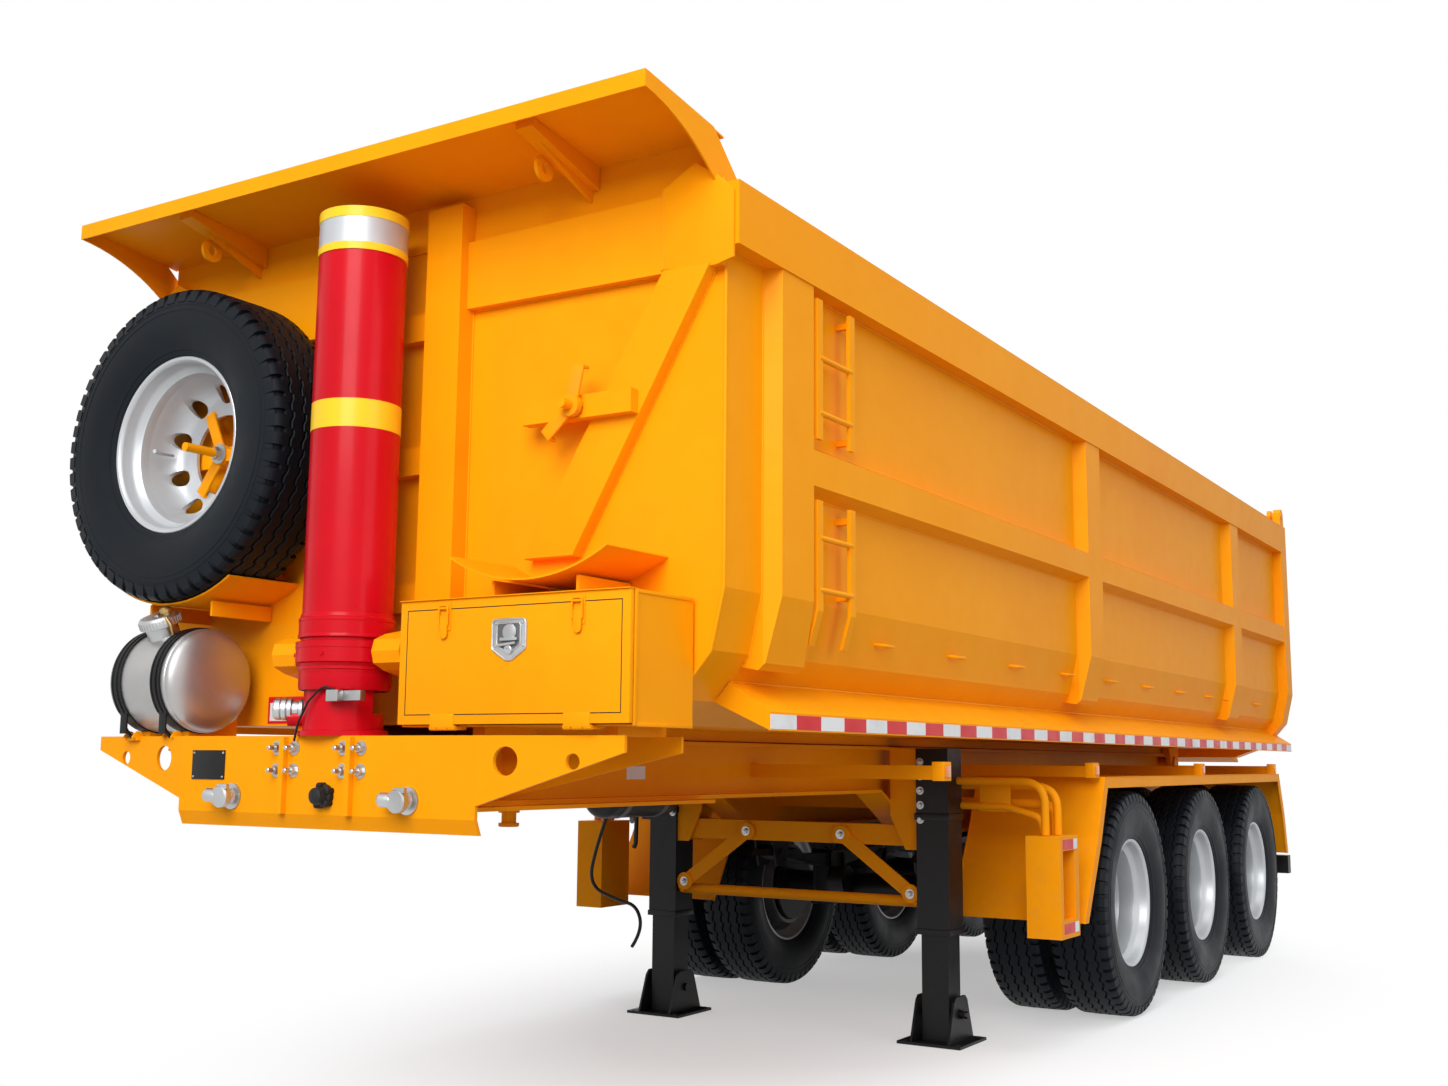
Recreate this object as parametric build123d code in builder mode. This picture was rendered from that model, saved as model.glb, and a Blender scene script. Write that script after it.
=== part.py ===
from build123d import *

import os
from math import atan2, cos, degrees, hypot, pi, radians, sin, tan

# Dump semi-trailer with three twin-tyred axles, a front telescopic hoist and a half-pipe tub.
# Millimetres. X points to the front, Y to the trailer's left, Z up.
# The origin lies on the ground, under the middle of the trailer's length and width.

# ---------------------------------------------------------------- driving dimensions

# Overall
body_half = 1275.0  # outside of the top rails
lip_x = 4050.0  # foremost edge of the canopy
chute_x = -4050.0  # rearmost edge of the chute

# Running gear
axle_1_x = -130.0
axle_pitch = 1310.0
axle_count = 3
tyre_r = 527.0
tyre_w = 280.0
bead_r = 298.5
outer_tyre_y = 1100.0
inner_tyre_y = 776.0
axle_r = 75.0
spindle_r = 45.0
drum_r = 205.0
hand_holes = 10
hand_hole_r = 30.0
hand_hole_ring_r = 185.0
rim_t = 9.0
disc_t = 12.0

# Chassis beams
deck_z = 1250.0
beam_y = 430.0
flange_w = 130.0
flange_t = 14.0
web_t = 10.0
neck_depth = 200.0
beam_depth = 400.0
neck_end_x = 1150.0
neck_slope = 380.0
nose_x = 3970.0
beam_rear_x = -3515.0
channel_w = 60.0
channel_t = 8.0
cross_places = (3600.0, 2750.0, 2150.0, 1300.0, 470.0, -785.0, -2095.0, -3250.0)

# Nose
nose_t = 12.0
nose_half = 612.0
nose_low_z = 1018.0
lip_drop = 43.0
wing_in = 195.0
wing_sweep = 45.0
wing_tip_h = 45.0
wing_root_h = 194.0
nose_rib_y = 138.0
nose_rib = 20.0
outrigger_x = 3640.0
outrigger_t = 10.0
coupling_y = 365.0
coupling_z = 1066.0
coupling_r = 42.0
coupler_t = 12.0
coupler_rear_x = 2650.0
kingpin_x = 3080.0
kingpin_r = 25.4
kingpin_flange_r = 35.7
kingpin_collar_r = 36.5
kingpin_l = 84.0

# Landing legs
leg_x = 1000.0
leg_y = 700.0
leg_w = 150.0
leg_inner_w = 124.0
leg_low_z = 450.0
foot_w = 290.0
foot_t = 12.0
brace_z = 865.0
brace_h = 90.0
tie_z = 580.0

# Tub
rail_w = 60.0  # how far the rails stand out from the sides
tub_front_x = 3640.0
tub_rear_x = -3780.0
rail_top_z = 2830.0
rail_h = 190.0
bend_1_z = 1665.0
bend_2_in = 40.0  # each bend's distance inward from the side
bend_2_z = 1490.0
bend_3_in = 155.0
bend_3_z = 1355.0
floor_in = 325.0
floor_z = 1290.0
sheet_t = 6.0
belt_low_z = 1990.0
belt_top_z = 2150.0
belt_face = 110.0
post_w = 240.0
post_taper = 25.0
post_centres = (3320.0, 500.0, -2250.0)
rear_post_w = 160.0
apron_root_in = 105.0
apron_top_z = 1412.0
edge_in = 25.0  # aprons and fenders end this far inside the rails
apron_edge_z = 1325.0
apron_low_z = 1272.0
apron_t = 6.0
apron_front_x = 3450.0
runner_w = 90.0
seat_gap = 5.0

# Front wall and canopy
band_low_z = 2600.0
band_d = 40.0
front_post_y = 195.0
front_post_w = 145.0
front_post_d = 75.0
post_over_rail = 130.0
wall_top_z = 2950.0
canopy_in = 15.0
canopy_lip_z = 3030.0
canopy_lip_h = 50.0
canopy_t = 6.0
canopy_rib_y = 730.0
diagonal_d = 45.0

# Hoist
hoist_x = 3875.0
hoist_top_z = 2880.0
trunnion_z = 1500.0
hoist_foot_z = 1345.0
barrel_r = 136.0
barrel_wall = 11.0
stage_count = 5
stage_step = 14.0
stage_wall = 9.0
gland_gap = 0.5
stage_show = 11.0
collar_r = 150.0
collar_h = 62.0
trunnion_r = 28.0

# Tipping hinge
tip_x = -3450.0
tip_z = 1180.0
shaft_r = 35.0
ear_t = 30.0
pin_gap = 0.05

# Toolbox and tank
box_front_x = 3963.0
box_rear_x = 3658.0
box_right_y = 305.0
box_in = 155.0
box_low_z = 1275.0
box_top_z = 1635.0
box_t = 4.0
door_t = 16.0
tank_x = 3862.0
tank_z = 1432.0
tank_r = 168.0
tank_end_y = -955.0
tank_dome_y = -582.0
tank_dome = 45.0
strap_places = (-875.0, -683.0)
strap_w = 45.0
strap_t = 4.0
filler_lean = 25.0  # degrees from upright

# Spare wheel
spare_y = -745.0
spare_x = 3862.0
spare_z = 2215.0
spare_bore_r = 140.0
spare_disc_depth = 105.0
cradle_half = 325.0
cradle_t = 6.0
cradle_gap = 3.0

# Fenders, lamps, guards
fender_in_y = 632.0
fender_top_z = 1118.0
fender_t = 5.0
arm_places = (2150.0, 450.0, -1440.0, -3300.0)
arm_w = 50.0
guard_front_x = 1020.0
guard_rear_x = 785.0
guard_w = 150.0
guard_low_z = 460.0
guard_top_z = 880.0
bumper_x = -3800.0
bumper_low_z = 450.0
bumper_h = 120.0
bumper_in = 75.0

# Air tank and hose, behind the right beam
air_tank_x = 1450.0
air_tank_y = -620.0
air_tank_z = 1030.0
air_tank_r = 105.0
air_tank_l = 520.0
valve_x = 1350.0
valve_y = -823.0
hose_top_z = 950.0
hose_r = 8.0

# Tailgate
gate_gap = 6.0
gate_t = 5.0
gate_rib_d = 50.0
gate_pin_x = -3700.0
gate_pin_z = 2905.0
gate_pin_r = 18.0

# ---------------------------------------------------------------- worked-out values

tub_half = body_half - rail_w
bend_2_y = tub_half - bend_2_in
bend_3_y = tub_half - bend_3_in
floor_half = tub_half - floor_in
apron_half = body_half - edge_in
apron_top_y = tub_half - apron_root_in
canopy_half = tub_half - canopy_in
fender_out_y = body_half - edge_in
guard_in_y = fender_out_y - guard_w
wing_tip_y = body_half - wing_in
front_post_top_z = rail_top_z + post_over_rail
bumper_half = body_half - bumper_in
box_left_y = body_half - box_in
neck_z = deck_z - neck_depth
beam_low_z = deck_z - beam_depth
axle_places = [axle_1_x - axle_pitch * n for n in range(axle_count)]
wall_x = tub_front_x
post_front_x = tub_front_x + front_post_d
rear_frame_front_x = tub_rear_x + rear_post_w


# ---------------------------------------------------------------- shape helpers


def block(x0, x1, y0, y1, z0, z1, mode=Mode.ADD):
    """A cuboid between two corners."""
    with Locations(((x0 + x1) / 2, (y0 + y1) / 2, (z0 + z1) / 2)):
        Box(x1 - x0, y1 - y0, z1 - z0, mode=mode)


def side_plate(points, y0, y1, mode=Mode.ADD):
    """An outline in X and Z, as thick as y0 to y1."""
    with BuildSketch(Plane(origin=(0, y1, 0), x_dir=(1, 0, 0), z_dir=(0, -1, 0))) as face:
        Polygon(*points, align=None)
    extrude(face.sketch, amount=y1 - y0, mode=mode)


def cross_plate(points, x0, x1, mode=Mode.ADD):
    """An outline in Y and Z, as thick as x0 to x1."""
    with BuildSketch(Plane(origin=(x0, 0, 0), x_dir=(0, 1, 0), z_dir=(1, 0, 0))) as face:
        Polygon(*points, align=None)
    extrude(face.sketch, amount=x1 - x0, mode=mode)


def flat_plate(points, z0, z1, mode=Mode.ADD):
    """An outline in X and Y, as thick as z0 to z1."""
    with BuildSketch(Plane.XY.offset(z0)) as face:
        Polygon(*points, align=None)
    extrude(face.sketch, amount=z1 - z0, mode=mode)


def rod(start, end, radius, mode=Mode.ADD):
    """A round bar from one point to another."""
    run = Vector(*end) - Vector(*start)
    with BuildSketch(Plane(origin=start, z_dir=run)) as ring:
        Circle(radius)
    extrude(ring.sketch, amount=run.length, mode=mode)


def strut(start, end, width, height, across, mode=Mode.ADD):
    """A rectangular bar from one point to another; its width lies along the vector across."""
    run = Vector(*end) - Vector(*start)
    with BuildSketch(Plane(origin=start, x_dir=across, z_dir=run)) as section:
        Rectangle(width, height)
    extrude(section.sketch, amount=run.length, mode=mode)


def turned(profile, x, z, side=1.0):
    """A profile of (radius, y) points turned about the cross axis at x and z."""
    spin = Plane(origin=(x, 0, z), x_dir=(0, 0, 1), z_dir=(-1, 0, 0))
    with BuildSketch(spin) as face:
        Polygon(*[(r, y * side) for r, y in profile], align=None)
    revolve(face.sketch, Axis((x, 0, z), (0, 1, 0)), 360)


def turned_upright(profile, x, y):
    """A profile of (radius, z) points turned about the upright axis at x and y."""
    with BuildSketch(Plane(origin=(x, y, 0), x_dir=(1, 0, 0), z_dir=(0, -1, 0))) as face:
        Polygon(*profile, align=None)
    revolve(face.sketch, Axis((x, y, 0), (0, 0, 1)), 360)


def grown(points, distance):
    """An open outline of (y, z) points moved outward by a distance, with mitred corners."""
    moved = []
    for n, (y, z) in enumerate(points):
        before = points[n - 1] if n else None
        after = points[n + 1] if n + 1 < len(points) else None
        normals = []
        for a, b in ((before, (y, z)), ((y, z), after)):
            if a is None or b is None:
                continue
            run = hypot(b[0] - a[0], b[1] - a[1])
            normals.append((-(b[1] - a[1]) / run, (b[0] - a[0]) / run))
        if len(normals) == 1:
            ny, nz = normals[0]
            moved.append((y + ny * distance, z + nz * distance))
            continue
        (ay, az), (by, bz) = normals
        scale = distance / (1 + ay * by + az * bz)
        moved.append((y + (ay + by) * scale, z + (az + bz) * scale))
    return moved


def mirrored(points):
    """A left half outline joined to its mirror image on the right."""
    return points + [(-y, z) for y, z in reversed(points) if y > 0.001]


def channel(x, z0, z1, half, way=1.0):
    """A channel-section cross-member between the beams, its open side facing rearward."""
    inner = x - way * channel_w
    lip = way * channel_t
    outline = [
        (x, z0),
        (x, z1),
        (inner, z1),
        (inner, z1 - channel_t),
        (x - lip, z1 - channel_t),
        (x - lip, z0 + channel_t),
        (inner, z0 + channel_t),
        (inner, z0),
    ]
    side_plate(outline, -half, half)


def finish(part, name):
    part.part.label = name
    export_step(part.part, f"parts/{name}.step")


os.makedirs("parts", exist_ok=True)

# The tub's outer section, from the top of the left side down to the middle of the floor
half_section = [
    (tub_half, rail_top_z),
    (tub_half, bend_1_z),
    (bend_2_y, bend_2_z),
    (bend_3_y, bend_3_z),
    (floor_half, floor_z),
    (0.0, floor_z),
]


def section_band(inside, outside, top_z):
    """The U between two offsets of the tub's outer section, cut level at top_z."""
    near = grown(half_section, inside)
    far = grown(half_section, outside)
    near[0] = (near[0][0], top_z)
    far[0] = (far[0][0], top_z)
    outer = mirrored(far)
    inner = mirrored(near)
    return outer + inner[::-1]


# ---------------------------------------------------------------- tub

with BuildPart() as tub_shell:
    cross_plate(section_band(-sheet_t, 0.0, rail_top_z), tub_rear_x, tub_front_x)
finish(tub_shell, "tub_shell")

# Box-section top rails along both sides
with BuildPart() as top_rails:
    rail_low_z = rail_top_z - rail_h
    rail_front_x = tub_front_x + band_d
    block(rear_frame_front_x, rail_front_x, tub_half, body_half, rail_low_z, rail_top_z)
    mirror(about=Plane.XZ)
finish(top_rails, "top_rails")

# Upright ribs that turn in under the sides
with BuildPart() as side_ribs:
    rib_out_y = body_half - seat_gap
    far = grown(half_section, rib_out_y - tub_half)
    foot_y = bend_2_y - 30.0
    foot_z = bend_2_z - 30.0 * (bend_2_z - bend_3_z) / (bend_2_y - bend_3_y)
    rib = [
        (tub_half, rail_low_z),
        (tub_half, bend_1_z),
        (bend_2_y, bend_2_z),
        (foot_y, foot_z),
        (far[2][0] - 22.0, foot_z - 10.0),
        far[2],
        far[1],
        (rib_out_y, rail_low_z),
    ]
    for centre in post_centres:
        cross_plate(rib, centre - post_w / 2, centre + post_w / 2)
        for way in (-1.0, 1.0):
            # The rib's edges slope back to the sheet.
            edge = centre + way * post_w / 2
            cut = [
                (edge, body_half + 1.0),
                (edge - way * post_taper, body_half + 1.0),
                (edge, tub_half + 4.0),
            ]
            flat_plate(cut, floor_z, rail_low_z, mode=Mode.SUBTRACT)
    mirror(about=Plane.XZ)
finish(side_ribs, "side_ribs")

# One lengthwise belt pressed out of each side between the ribs
with BuildPart() as side_belts:
    belt_mid_z = (belt_low_z + belt_top_z) / 2
    belt_outline = [
        (tub_half, belt_low_z),
        (rib_out_y, belt_mid_z - belt_face / 2),
        (rib_out_y, belt_mid_z + belt_face / 2),
        (tub_half, belt_top_z),
    ]
    cross_plate(belt_outline, rear_frame_front_x, post_centres[0])
    mirror(about=Plane.XZ)
    add(side_ribs.part, mode=Mode.SUBTRACT)
finish(side_belts, "side_belts")

# Runners that seat on the chassis, and the ears of the tipping hinge
with BuildPart() as floor_runners:
    block(
        tip_x + 60.0,
        tub_front_x - 20.0,
        beam_y - runner_w / 2,
        beam_y + runner_w / 2,
        deck_z + seat_gap,
        floor_z,
    )
    ear_y = beam_y + flange_w / 2 + 10.0
    ear = [
        (tip_x - 130.0, floor_z),
        (tip_x - 62.0, tip_z - 20.0),
        (tip_x - 30.0, tip_z - 62.0),
        (tip_x + 30.0, tip_z - 62.0),
        (tip_x + 62.0, tip_z - 20.0),
        (tip_x + 130.0, floor_z),
    ]
    side_plate(ear, ear_y, ear_y + ear_t)
    rod(
        (tip_x, ear_y - 1.0, tip_z),
        (tip_x, ear_y + ear_t + 1.0, tip_z),
        shaft_r + pin_gap,
        mode=Mode.SUBTRACT,
    )
    mirror(about=Plane.XZ)
finish(floor_runners, "floor_runners")

# Sloping spill aprons along both sides, with their upright edge
with BuildPart() as side_aprons:
    slope_run = hypot(apron_half - apron_top_y, apron_top_z - apron_edge_z)
    drop = apron_t * slope_run / (apron_half - apron_top_y)
    apron_outline = [
        (apron_half, apron_low_z),
        (apron_half, apron_edge_z),
        (apron_top_y + 3.0, apron_top_z),
        (apron_top_y - 4.0, apron_top_z - drop),
        (apron_half - apron_t, apron_edge_z - drop),
        (apron_half - apron_t, apron_low_z),
    ]
    cross_plate(apron_outline, tub_rear_x, apron_front_x)
    # An end plate closes the front, from the tub's bend to the edge.
    end_plate = [
        (apron_half, apron_low_z),
        (apron_half, apron_edge_z),
        (apron_top_y + 3.0, apron_top_z),
        (bend_3_y + 24.0, bend_3_z + 24.0),
        (bend_3_y, bend_3_z),
    ]
    cross_plate(end_plate, apron_front_x - apron_t, apron_front_x)
    cross_plate(
        half_section[1:] + [(0.0, rail_top_z), (tub_half, rail_top_z)],
        tub_rear_x - 1.0,
        apron_front_x + 1.0,
        mode=Mode.SUBTRACT,
    )
    cross_plate(
        section_band(-1.0, body_half - tub_half, rail_top_z),
        tub_rear_x,
        rear_frame_front_x,
        mode=Mode.SUBTRACT,
    )
    mirror(about=Plane.XZ)
finish(side_aprons, "side_aprons")

# ---------------------------------------------------------------- front wall

with BuildPart() as front_wall:
    wall_outline = mirrored(grown(half_section, 0.0))
    cross_plate(wall_outline, wall_x, wall_x + sheet_t)
    upper = [
        (canopy_half - canopy_t, rail_top_z),
        (canopy_half - canopy_t - 40.0, wall_top_z),
        (0.0, wall_top_z),
        (0.0, rail_top_z),
    ]
    cross_plate(upper, wall_x, wall_x + sheet_t)
    band = [
        (front_post_y + front_post_w / 2, band_low_z),
        (tub_half, band_low_z - 10.0),
        (tub_half, rail_top_z),
        (front_post_y + front_post_w / 2, rail_top_z - 10.0),
    ]
    cross_plate(band, wall_x + sheet_t, wall_x + band_d)
    block(
        wall_x + sheet_t,
        post_front_x,
        front_post_y - front_post_w / 2,
        front_post_y + front_post_w / 2,
        floor_z,
        front_post_top_z - 20.0,
    )
    diagonal = [
        (tub_half - 190.0, band_low_z - 3.0),
        (tub_half - 30.0, band_low_z - 6.0),
        (tub_half - 500.0, bend_1_z + 115.0),
        (tub_half - 680.0, bend_1_z + 115.0),
    ]
    cross_plate(diagonal, wall_x + sheet_t, wall_x + sheet_t + diagonal_d)
    # The trunnion lug on the post's front carries the hoist.
    lug_in_y = collar_r + 8.0
    lug_out_y = front_post_y + front_post_w / 2
    lug = [
        (post_front_x - 1.0, trunnion_z - 90.0),
        (hoist_x, trunnion_z - 55.0),
        (hoist_x + 45.0, trunnion_z - 35.0),
        (hoist_x + 55.0, trunnion_z),
        (hoist_x + 45.0, trunnion_z + 35.0),
        (hoist_x, trunnion_z + 55.0),
        (post_front_x - 1.0, trunnion_z + 90.0),
    ]
    side_plate(lug, lug_in_y, lug_out_y)
    rod(
        (hoist_x, lug_in_y - 1.0, trunnion_z),
        (hoist_x, lug_out_y + 1.0, trunnion_z),
        trunnion_r + pin_gap,
        mode=Mode.SUBTRACT,
    )
    mirror(about=Plane.XZ)
    # Cross pieces join the two posts behind the hoist.
    brace_step = (band_low_z - trunnion_z) / 5
    for z in [trunnion_z + brace_step * n - 80.0 for n in (1, 3, 5)]:
        inner = front_post_y - front_post_w / 2
        block(wall_x + sheet_t, wall_x + sheet_t + 40.0, -inner, inner, z, z + 90.0)
finish(front_wall, "front_wall")

with BuildPart() as canopy:
    # The roof sheet rises a little to its lip and turns down there.
    roof_front_x = lip_x - canopy_t
    roof = [
        (wall_x + sheet_t, wall_top_z + 35.0),
        (lip_x, canopy_lip_z),
        (lip_x, canopy_lip_z - canopy_lip_h),
        (roof_front_x, canopy_lip_z - canopy_lip_h),
        (roof_front_x, canopy_lip_z - canopy_t),
        (wall_x + sheet_t, wall_top_z + 35.0 - canopy_t),
    ]
    side_plate(roof, -canopy_half, canopy_half)
    back = [
        (tub_half, rail_top_z),
        (canopy_half - 20.0, rail_top_z + 90.0),
        (canopy_half - 20.0, wall_top_z + 35.0),
        (-canopy_half + 20.0, wall_top_z + 35.0),
        (-canopy_half + 20.0, rail_top_z + 90.0),
        (-tub_half, rail_top_z),
    ]
    cross_plate(back, wall_x + sheet_t, wall_x + 2 * sheet_t)
    for y in (-front_post_y, front_post_y):
        y0 = y - front_post_w / 2 - 1.0
        y1 = y + front_post_w / 2 + 1.0
        block(
            wall_x + sheet_t,
            post_front_x,
            y0,
            y1,
            rail_top_z - 1.0,
            front_post_top_z - 20.0,
            mode=Mode.SUBTRACT,
        )
    # A curved cheek closes each end of the canopy down to the rail.
    for y in (canopy_half, canopy_t - canopy_half):
        with BuildSketch(Plane(origin=(0, y, 0), x_dir=(1, 0, 0), z_dir=(0, -1, 0))) as cheek:
            with BuildLine():
                top = Line((wall_x - 130.0, rail_top_z + 4.0), (wall_x - 60.0, rail_top_z + 60.0))
                upper_edge = Line(top @ 1, (wall_x + 60.0, wall_top_z + 45.0))
                roof_edge = Line(upper_edge @ 1, (lip_x - canopy_t, canopy_lip_z))
                front = Line(roof_edge @ 1, (lip_x - canopy_t, canopy_lip_z - canopy_lip_h))
                curve = ThreePointArc(
                    front @ 1, (wall_x + 170.0, canopy_lip_z - 115.0), (wall_x + band_d, rail_top_z + 2.0)
                )
                Line(curve @ 1, top @ 0)
            make_face()
        extrude(cheek.sketch, amount=canopy_t)
    for side in (-1.0, 1.0):
        gusset = [
            (wall_x + 2 * sheet_t - 1.0, rail_top_z + 40.0),
            (wall_x + 2 * sheet_t - 1.0, wall_top_z + 32.0),
            (roof_front_x - 60.0, canopy_lip_z - 12.0),
            (roof_front_x - 60.0, canopy_lip_z - 32.0),
        ]
        side_plate(gusset, side * canopy_rib_y - 6.0, side * canopy_rib_y + 6.0)
finish(canopy, "canopy")

# ---------------------------------------------------------------- ladder

with BuildPart() as ladder:
    ladder_x = 3070.0
    rung_half = 110.0
    rail_d = 12.0
    stand_y = tub_half
    out_y = body_half - seat_gap
    for x in (ladder_x - rung_half, ladder_x + rung_half):
        upper_z0 = belt_top_z + 15.0
        upper_z1 = rail_top_z - rail_h - 30.0
        block(x - 18.0, x + 18.0, out_y - rail_d, out_y, upper_z0, upper_z1)
        for z in (upper_z0 + 20.0, upper_z1 - 40.0):
            block(x - 10.0, x + 10.0, stand_y, out_y - rail_d, z, z + 20.0)
        low = [
            (out_y, belt_low_z - 15.0),
            (out_y, bend_1_z - 30.0),
            (out_y - 30.0, bend_2_z + 40.0),
            (out_y - 42.0, bend_2_z + 40.0),
            (out_y - rail_d, bend_1_z - 30.0),
            (out_y - rail_d, belt_low_z - 15.0),
        ]
        cross_plate(low, x - 18.0, x + 18.0)
        block(x - 10.0, x + 10.0, stand_y, out_y - rail_d, belt_low_z - 60.0, belt_low_z - 40.0)
        block(x - 10.0, x + 10.0, stand_y, out_y - rail_d, bend_1_z + 20.0, bend_1_z + 40.0)
    for z in (2425.0, 2250.0, 1860.0, 1700.0):
        rod((ladder_x - rung_half, out_y - 6.0, z), (ladder_x + rung_half, out_y - 6.0, z), 9.0)
finish(ladder, "ladder")

# ---------------------------------------------------------------- spare wheel on the front wall

with BuildPart() as wheel_carriers:
    for side in (-1.0, 1.0):
        y = side * abs(spare_y)
        bar_x = wall_x + sheet_t + diagonal_d
        block(bar_x, bar_x + 40.0, y - 200.0, y + 200.0, spare_z - 35.0, spare_z + 35.0)
        near = tyre_r + cradle_gap
        far = near + cradle_t
        reach = degrees(atan2(cradle_half, tyre_r))
        cradle_plane = Plane(origin=(wall_x + sheet_t, y, spare_z), x_dir=(0, 1, 0), z_dir=(1, 0, 0))
        with BuildSketch(cradle_plane) as trough:
            with BuildLine():
                lower = CenterArc((0, 0), far, 270.0 - reach, 2 * reach)
                upper = CenterArc((0, 0), near, 270.0 - reach, 2 * reach)
                Line(lower @ 0, upper @ 0)
                Line(lower @ 1, upper @ 1)
            make_face()
        extrude(trough.sketch, amount=300.0)
        rod(
            (bar_x + 40.0, y, spare_z),
            (spare_x + (60.0 if side < 0 else -60.0), y, spare_z),
            15.0,
        )
finish(wheel_carriers, "wheel_carriers")


def tyre_profile(centre_y):
    """Half section of a tyre as (radius, y): beads, sidewalls and tread."""
    half = tyre_w / 2
    rim_half = 100.0
    return [
        (bead_r, centre_y - rim_half),
        (bead_r + 30.0, centre_y - rim_half - 24.0),
        ((bead_r + tyre_r) / 2, centre_y - half),
        (tyre_r - 42.0, centre_y - half + 8.0),
        (tyre_r - 12.0, centre_y - half + 30.0),
        (tyre_r, centre_y - half + 62.0),
        (tyre_r, centre_y + half - 62.0),
        (tyre_r - 12.0, centre_y + half - 30.0),
        (tyre_r - 42.0, centre_y + half - 8.0),
        ((bead_r + tyre_r) / 2, centre_y + half),
        (bead_r + 30.0, centre_y + rim_half + 24.0),
        (bead_r, centre_y + rim_half),
    ]


def rim_outline(centre_y):
    """A rim's barrel with its flanges, as (radius, y)."""
    half = 100.0
    well = bead_r - 40.0
    return [
        (bead_r, centre_y - half),
        (bead_r - rim_t, centre_y - half),
        (well - rim_t, centre_y - 60.0),
        (well - rim_t, centre_y + 60.0),
        (bead_r - rim_t, centre_y + half),
        (bead_r, centre_y + half),
        (well, centre_y + 62.0),
        (well, centre_y - 62.0),
    ]


# ---------------------------------------------------------------- wheels


def wheel_pair(x, side, label):
    """One end of an axle: two tyres in a node, their rims, disc, hub and drum in another."""
    with BuildPart() as tyres:
        turned(tyre_profile(outer_tyre_y), x, tyre_r, side)
        turned(tyre_profile(inner_tyre_y), x, tyre_r, side)
    finish(tyres, f"tyres_{label}")
    disc_y = (outer_tyre_y + inner_tyre_y) / 2 - 4.0
    well = bead_r - 40.0
    hub_r = 110.0
    with BuildPart() as wheel:
        turned(rim_outline(outer_tyre_y), x, tyre_r, side)
        turned(rim_outline(inner_tyre_y), x, tyre_r, side)
        # The two wheel discs lie face to face between the tyres.
        disc = [
            (spindle_r + pin_gap, disc_y - disc_t),
            (spindle_r + pin_gap, disc_y + disc_t),
            (hand_hole_ring_r - 10.0, disc_y + disc_t),
            (well - rim_t + 1.0, outer_tyre_y - 40.0),
            (well - rim_t + 1.0, outer_tyre_y - 54.0),
            (hand_hole_ring_r + 20.0, disc_y),
            (well - rim_t + 1.0, inner_tyre_y + 54.0),
            (well - rim_t + 1.0, inner_tyre_y + 40.0),
            (hand_hole_ring_r - 10.0, disc_y - disc_t),
        ]
        turned(disc, x, tyre_r, side)
        for n in range(hand_holes):
            turn = 2 * pi * n / hand_holes
            centre = (
                x + (hand_hole_ring_r + 25.0) * cos(turn),
                0.0,
                tyre_r + (hand_hole_ring_r + 25.0) * sin(turn),
            )
            rod(
                (centre[0], side * (inner_tyre_y + 30.0), centre[2]),
                (centre[0], side * (outer_tyre_y - 30.0), centre[2]),
                hand_hole_r,
                mode=Mode.SUBTRACT,
            )
        hub = [
            (spindle_r + pin_gap, disc_y + disc_t - 1.0),
            (hub_r, disc_y + disc_t - 1.0),
            (hub_r - 6.0, disc_y + 60.0),
            (70.0, disc_y + 95.0),
            (62.0, disc_y + 112.0),
            (0.0, disc_y + 112.0),
            (0.0, disc_y + 90.0),
            (spindle_r + pin_gap, disc_y + 90.0),
        ]
        turned(hub, x, tyre_r, side)
        drum = [
            (spindle_r + pin_gap, disc_y - disc_t + 1.0),
            (spindle_r + pin_gap, disc_y - 40.0),
            (drum_r - 14.0, disc_y - 52.0),
            (drum_r - 14.0, inner_tyre_y - 110.0),
            (drum_r, inner_tyre_y - 110.0),
            (drum_r, disc_y - 44.0),
            (hub_r, disc_y - disc_t + 1.0),
        ]
        turned(drum, x, tyre_r, side)
    finish(wheel, f"wheel_{label}")


for n, x in enumerate(axle_places):
    wheel_pair(x, 1.0, f"{n + 1}_left")
    wheel_pair(x, -1.0, f"{n + 1}_right")

with BuildPart() as spare_tyre:
    with BuildSketch(Plane(origin=(spare_x, spare_y, spare_z), x_dir=(0, 0, 1), z_dir=(0, -1, 0))) as face:
        Polygon(*tyre_profile(0.0), align=None)
    revolve(face.sketch, Axis((spare_x, spare_y, spare_z), (1, 0, 0)), 360)
finish(spare_tyre, "spare_tyre")

with BuildPart() as spare_rim:
    with BuildSketch(Plane(origin=(spare_x, spare_y, spare_z), x_dir=(0, 0, 1), z_dir=(0, -1, 0))) as face:
        Polygon(*rim_outline(0.0), align=None)
        well = bead_r - 40.0
        spare_disc = [
            (spare_bore_r, spare_disc_depth),
            (spare_bore_r, spare_disc_depth + disc_t),
            (hand_hole_ring_r + 10.0, spare_disc_depth + disc_t),
            (well - rim_t + 1.0, 34.0),
            (well - rim_t + 1.0, 20.0),
            (hand_hole_ring_r + 6.0, spare_disc_depth),
        ]
        Polygon(*spare_disc, align=None)
    revolve(face.sketch, Axis((spare_x, spare_y, spare_z), (1, 0, 0)), 360)
    for n in range(hand_holes):
        turn = 2 * pi * n / hand_holes
        y = spare_y + (hand_hole_ring_r + 25.0) * cos(turn)
        z = spare_z + (hand_hole_ring_r + 25.0) * sin(turn)
        rod((spare_x - 130.0, y, z), (spare_x, y, z), hand_hole_r, mode=Mode.SUBTRACT)
finish(spare_rim, "spare_rim")

# ---------------------------------------------------------------- rear frame and tailgate

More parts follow.
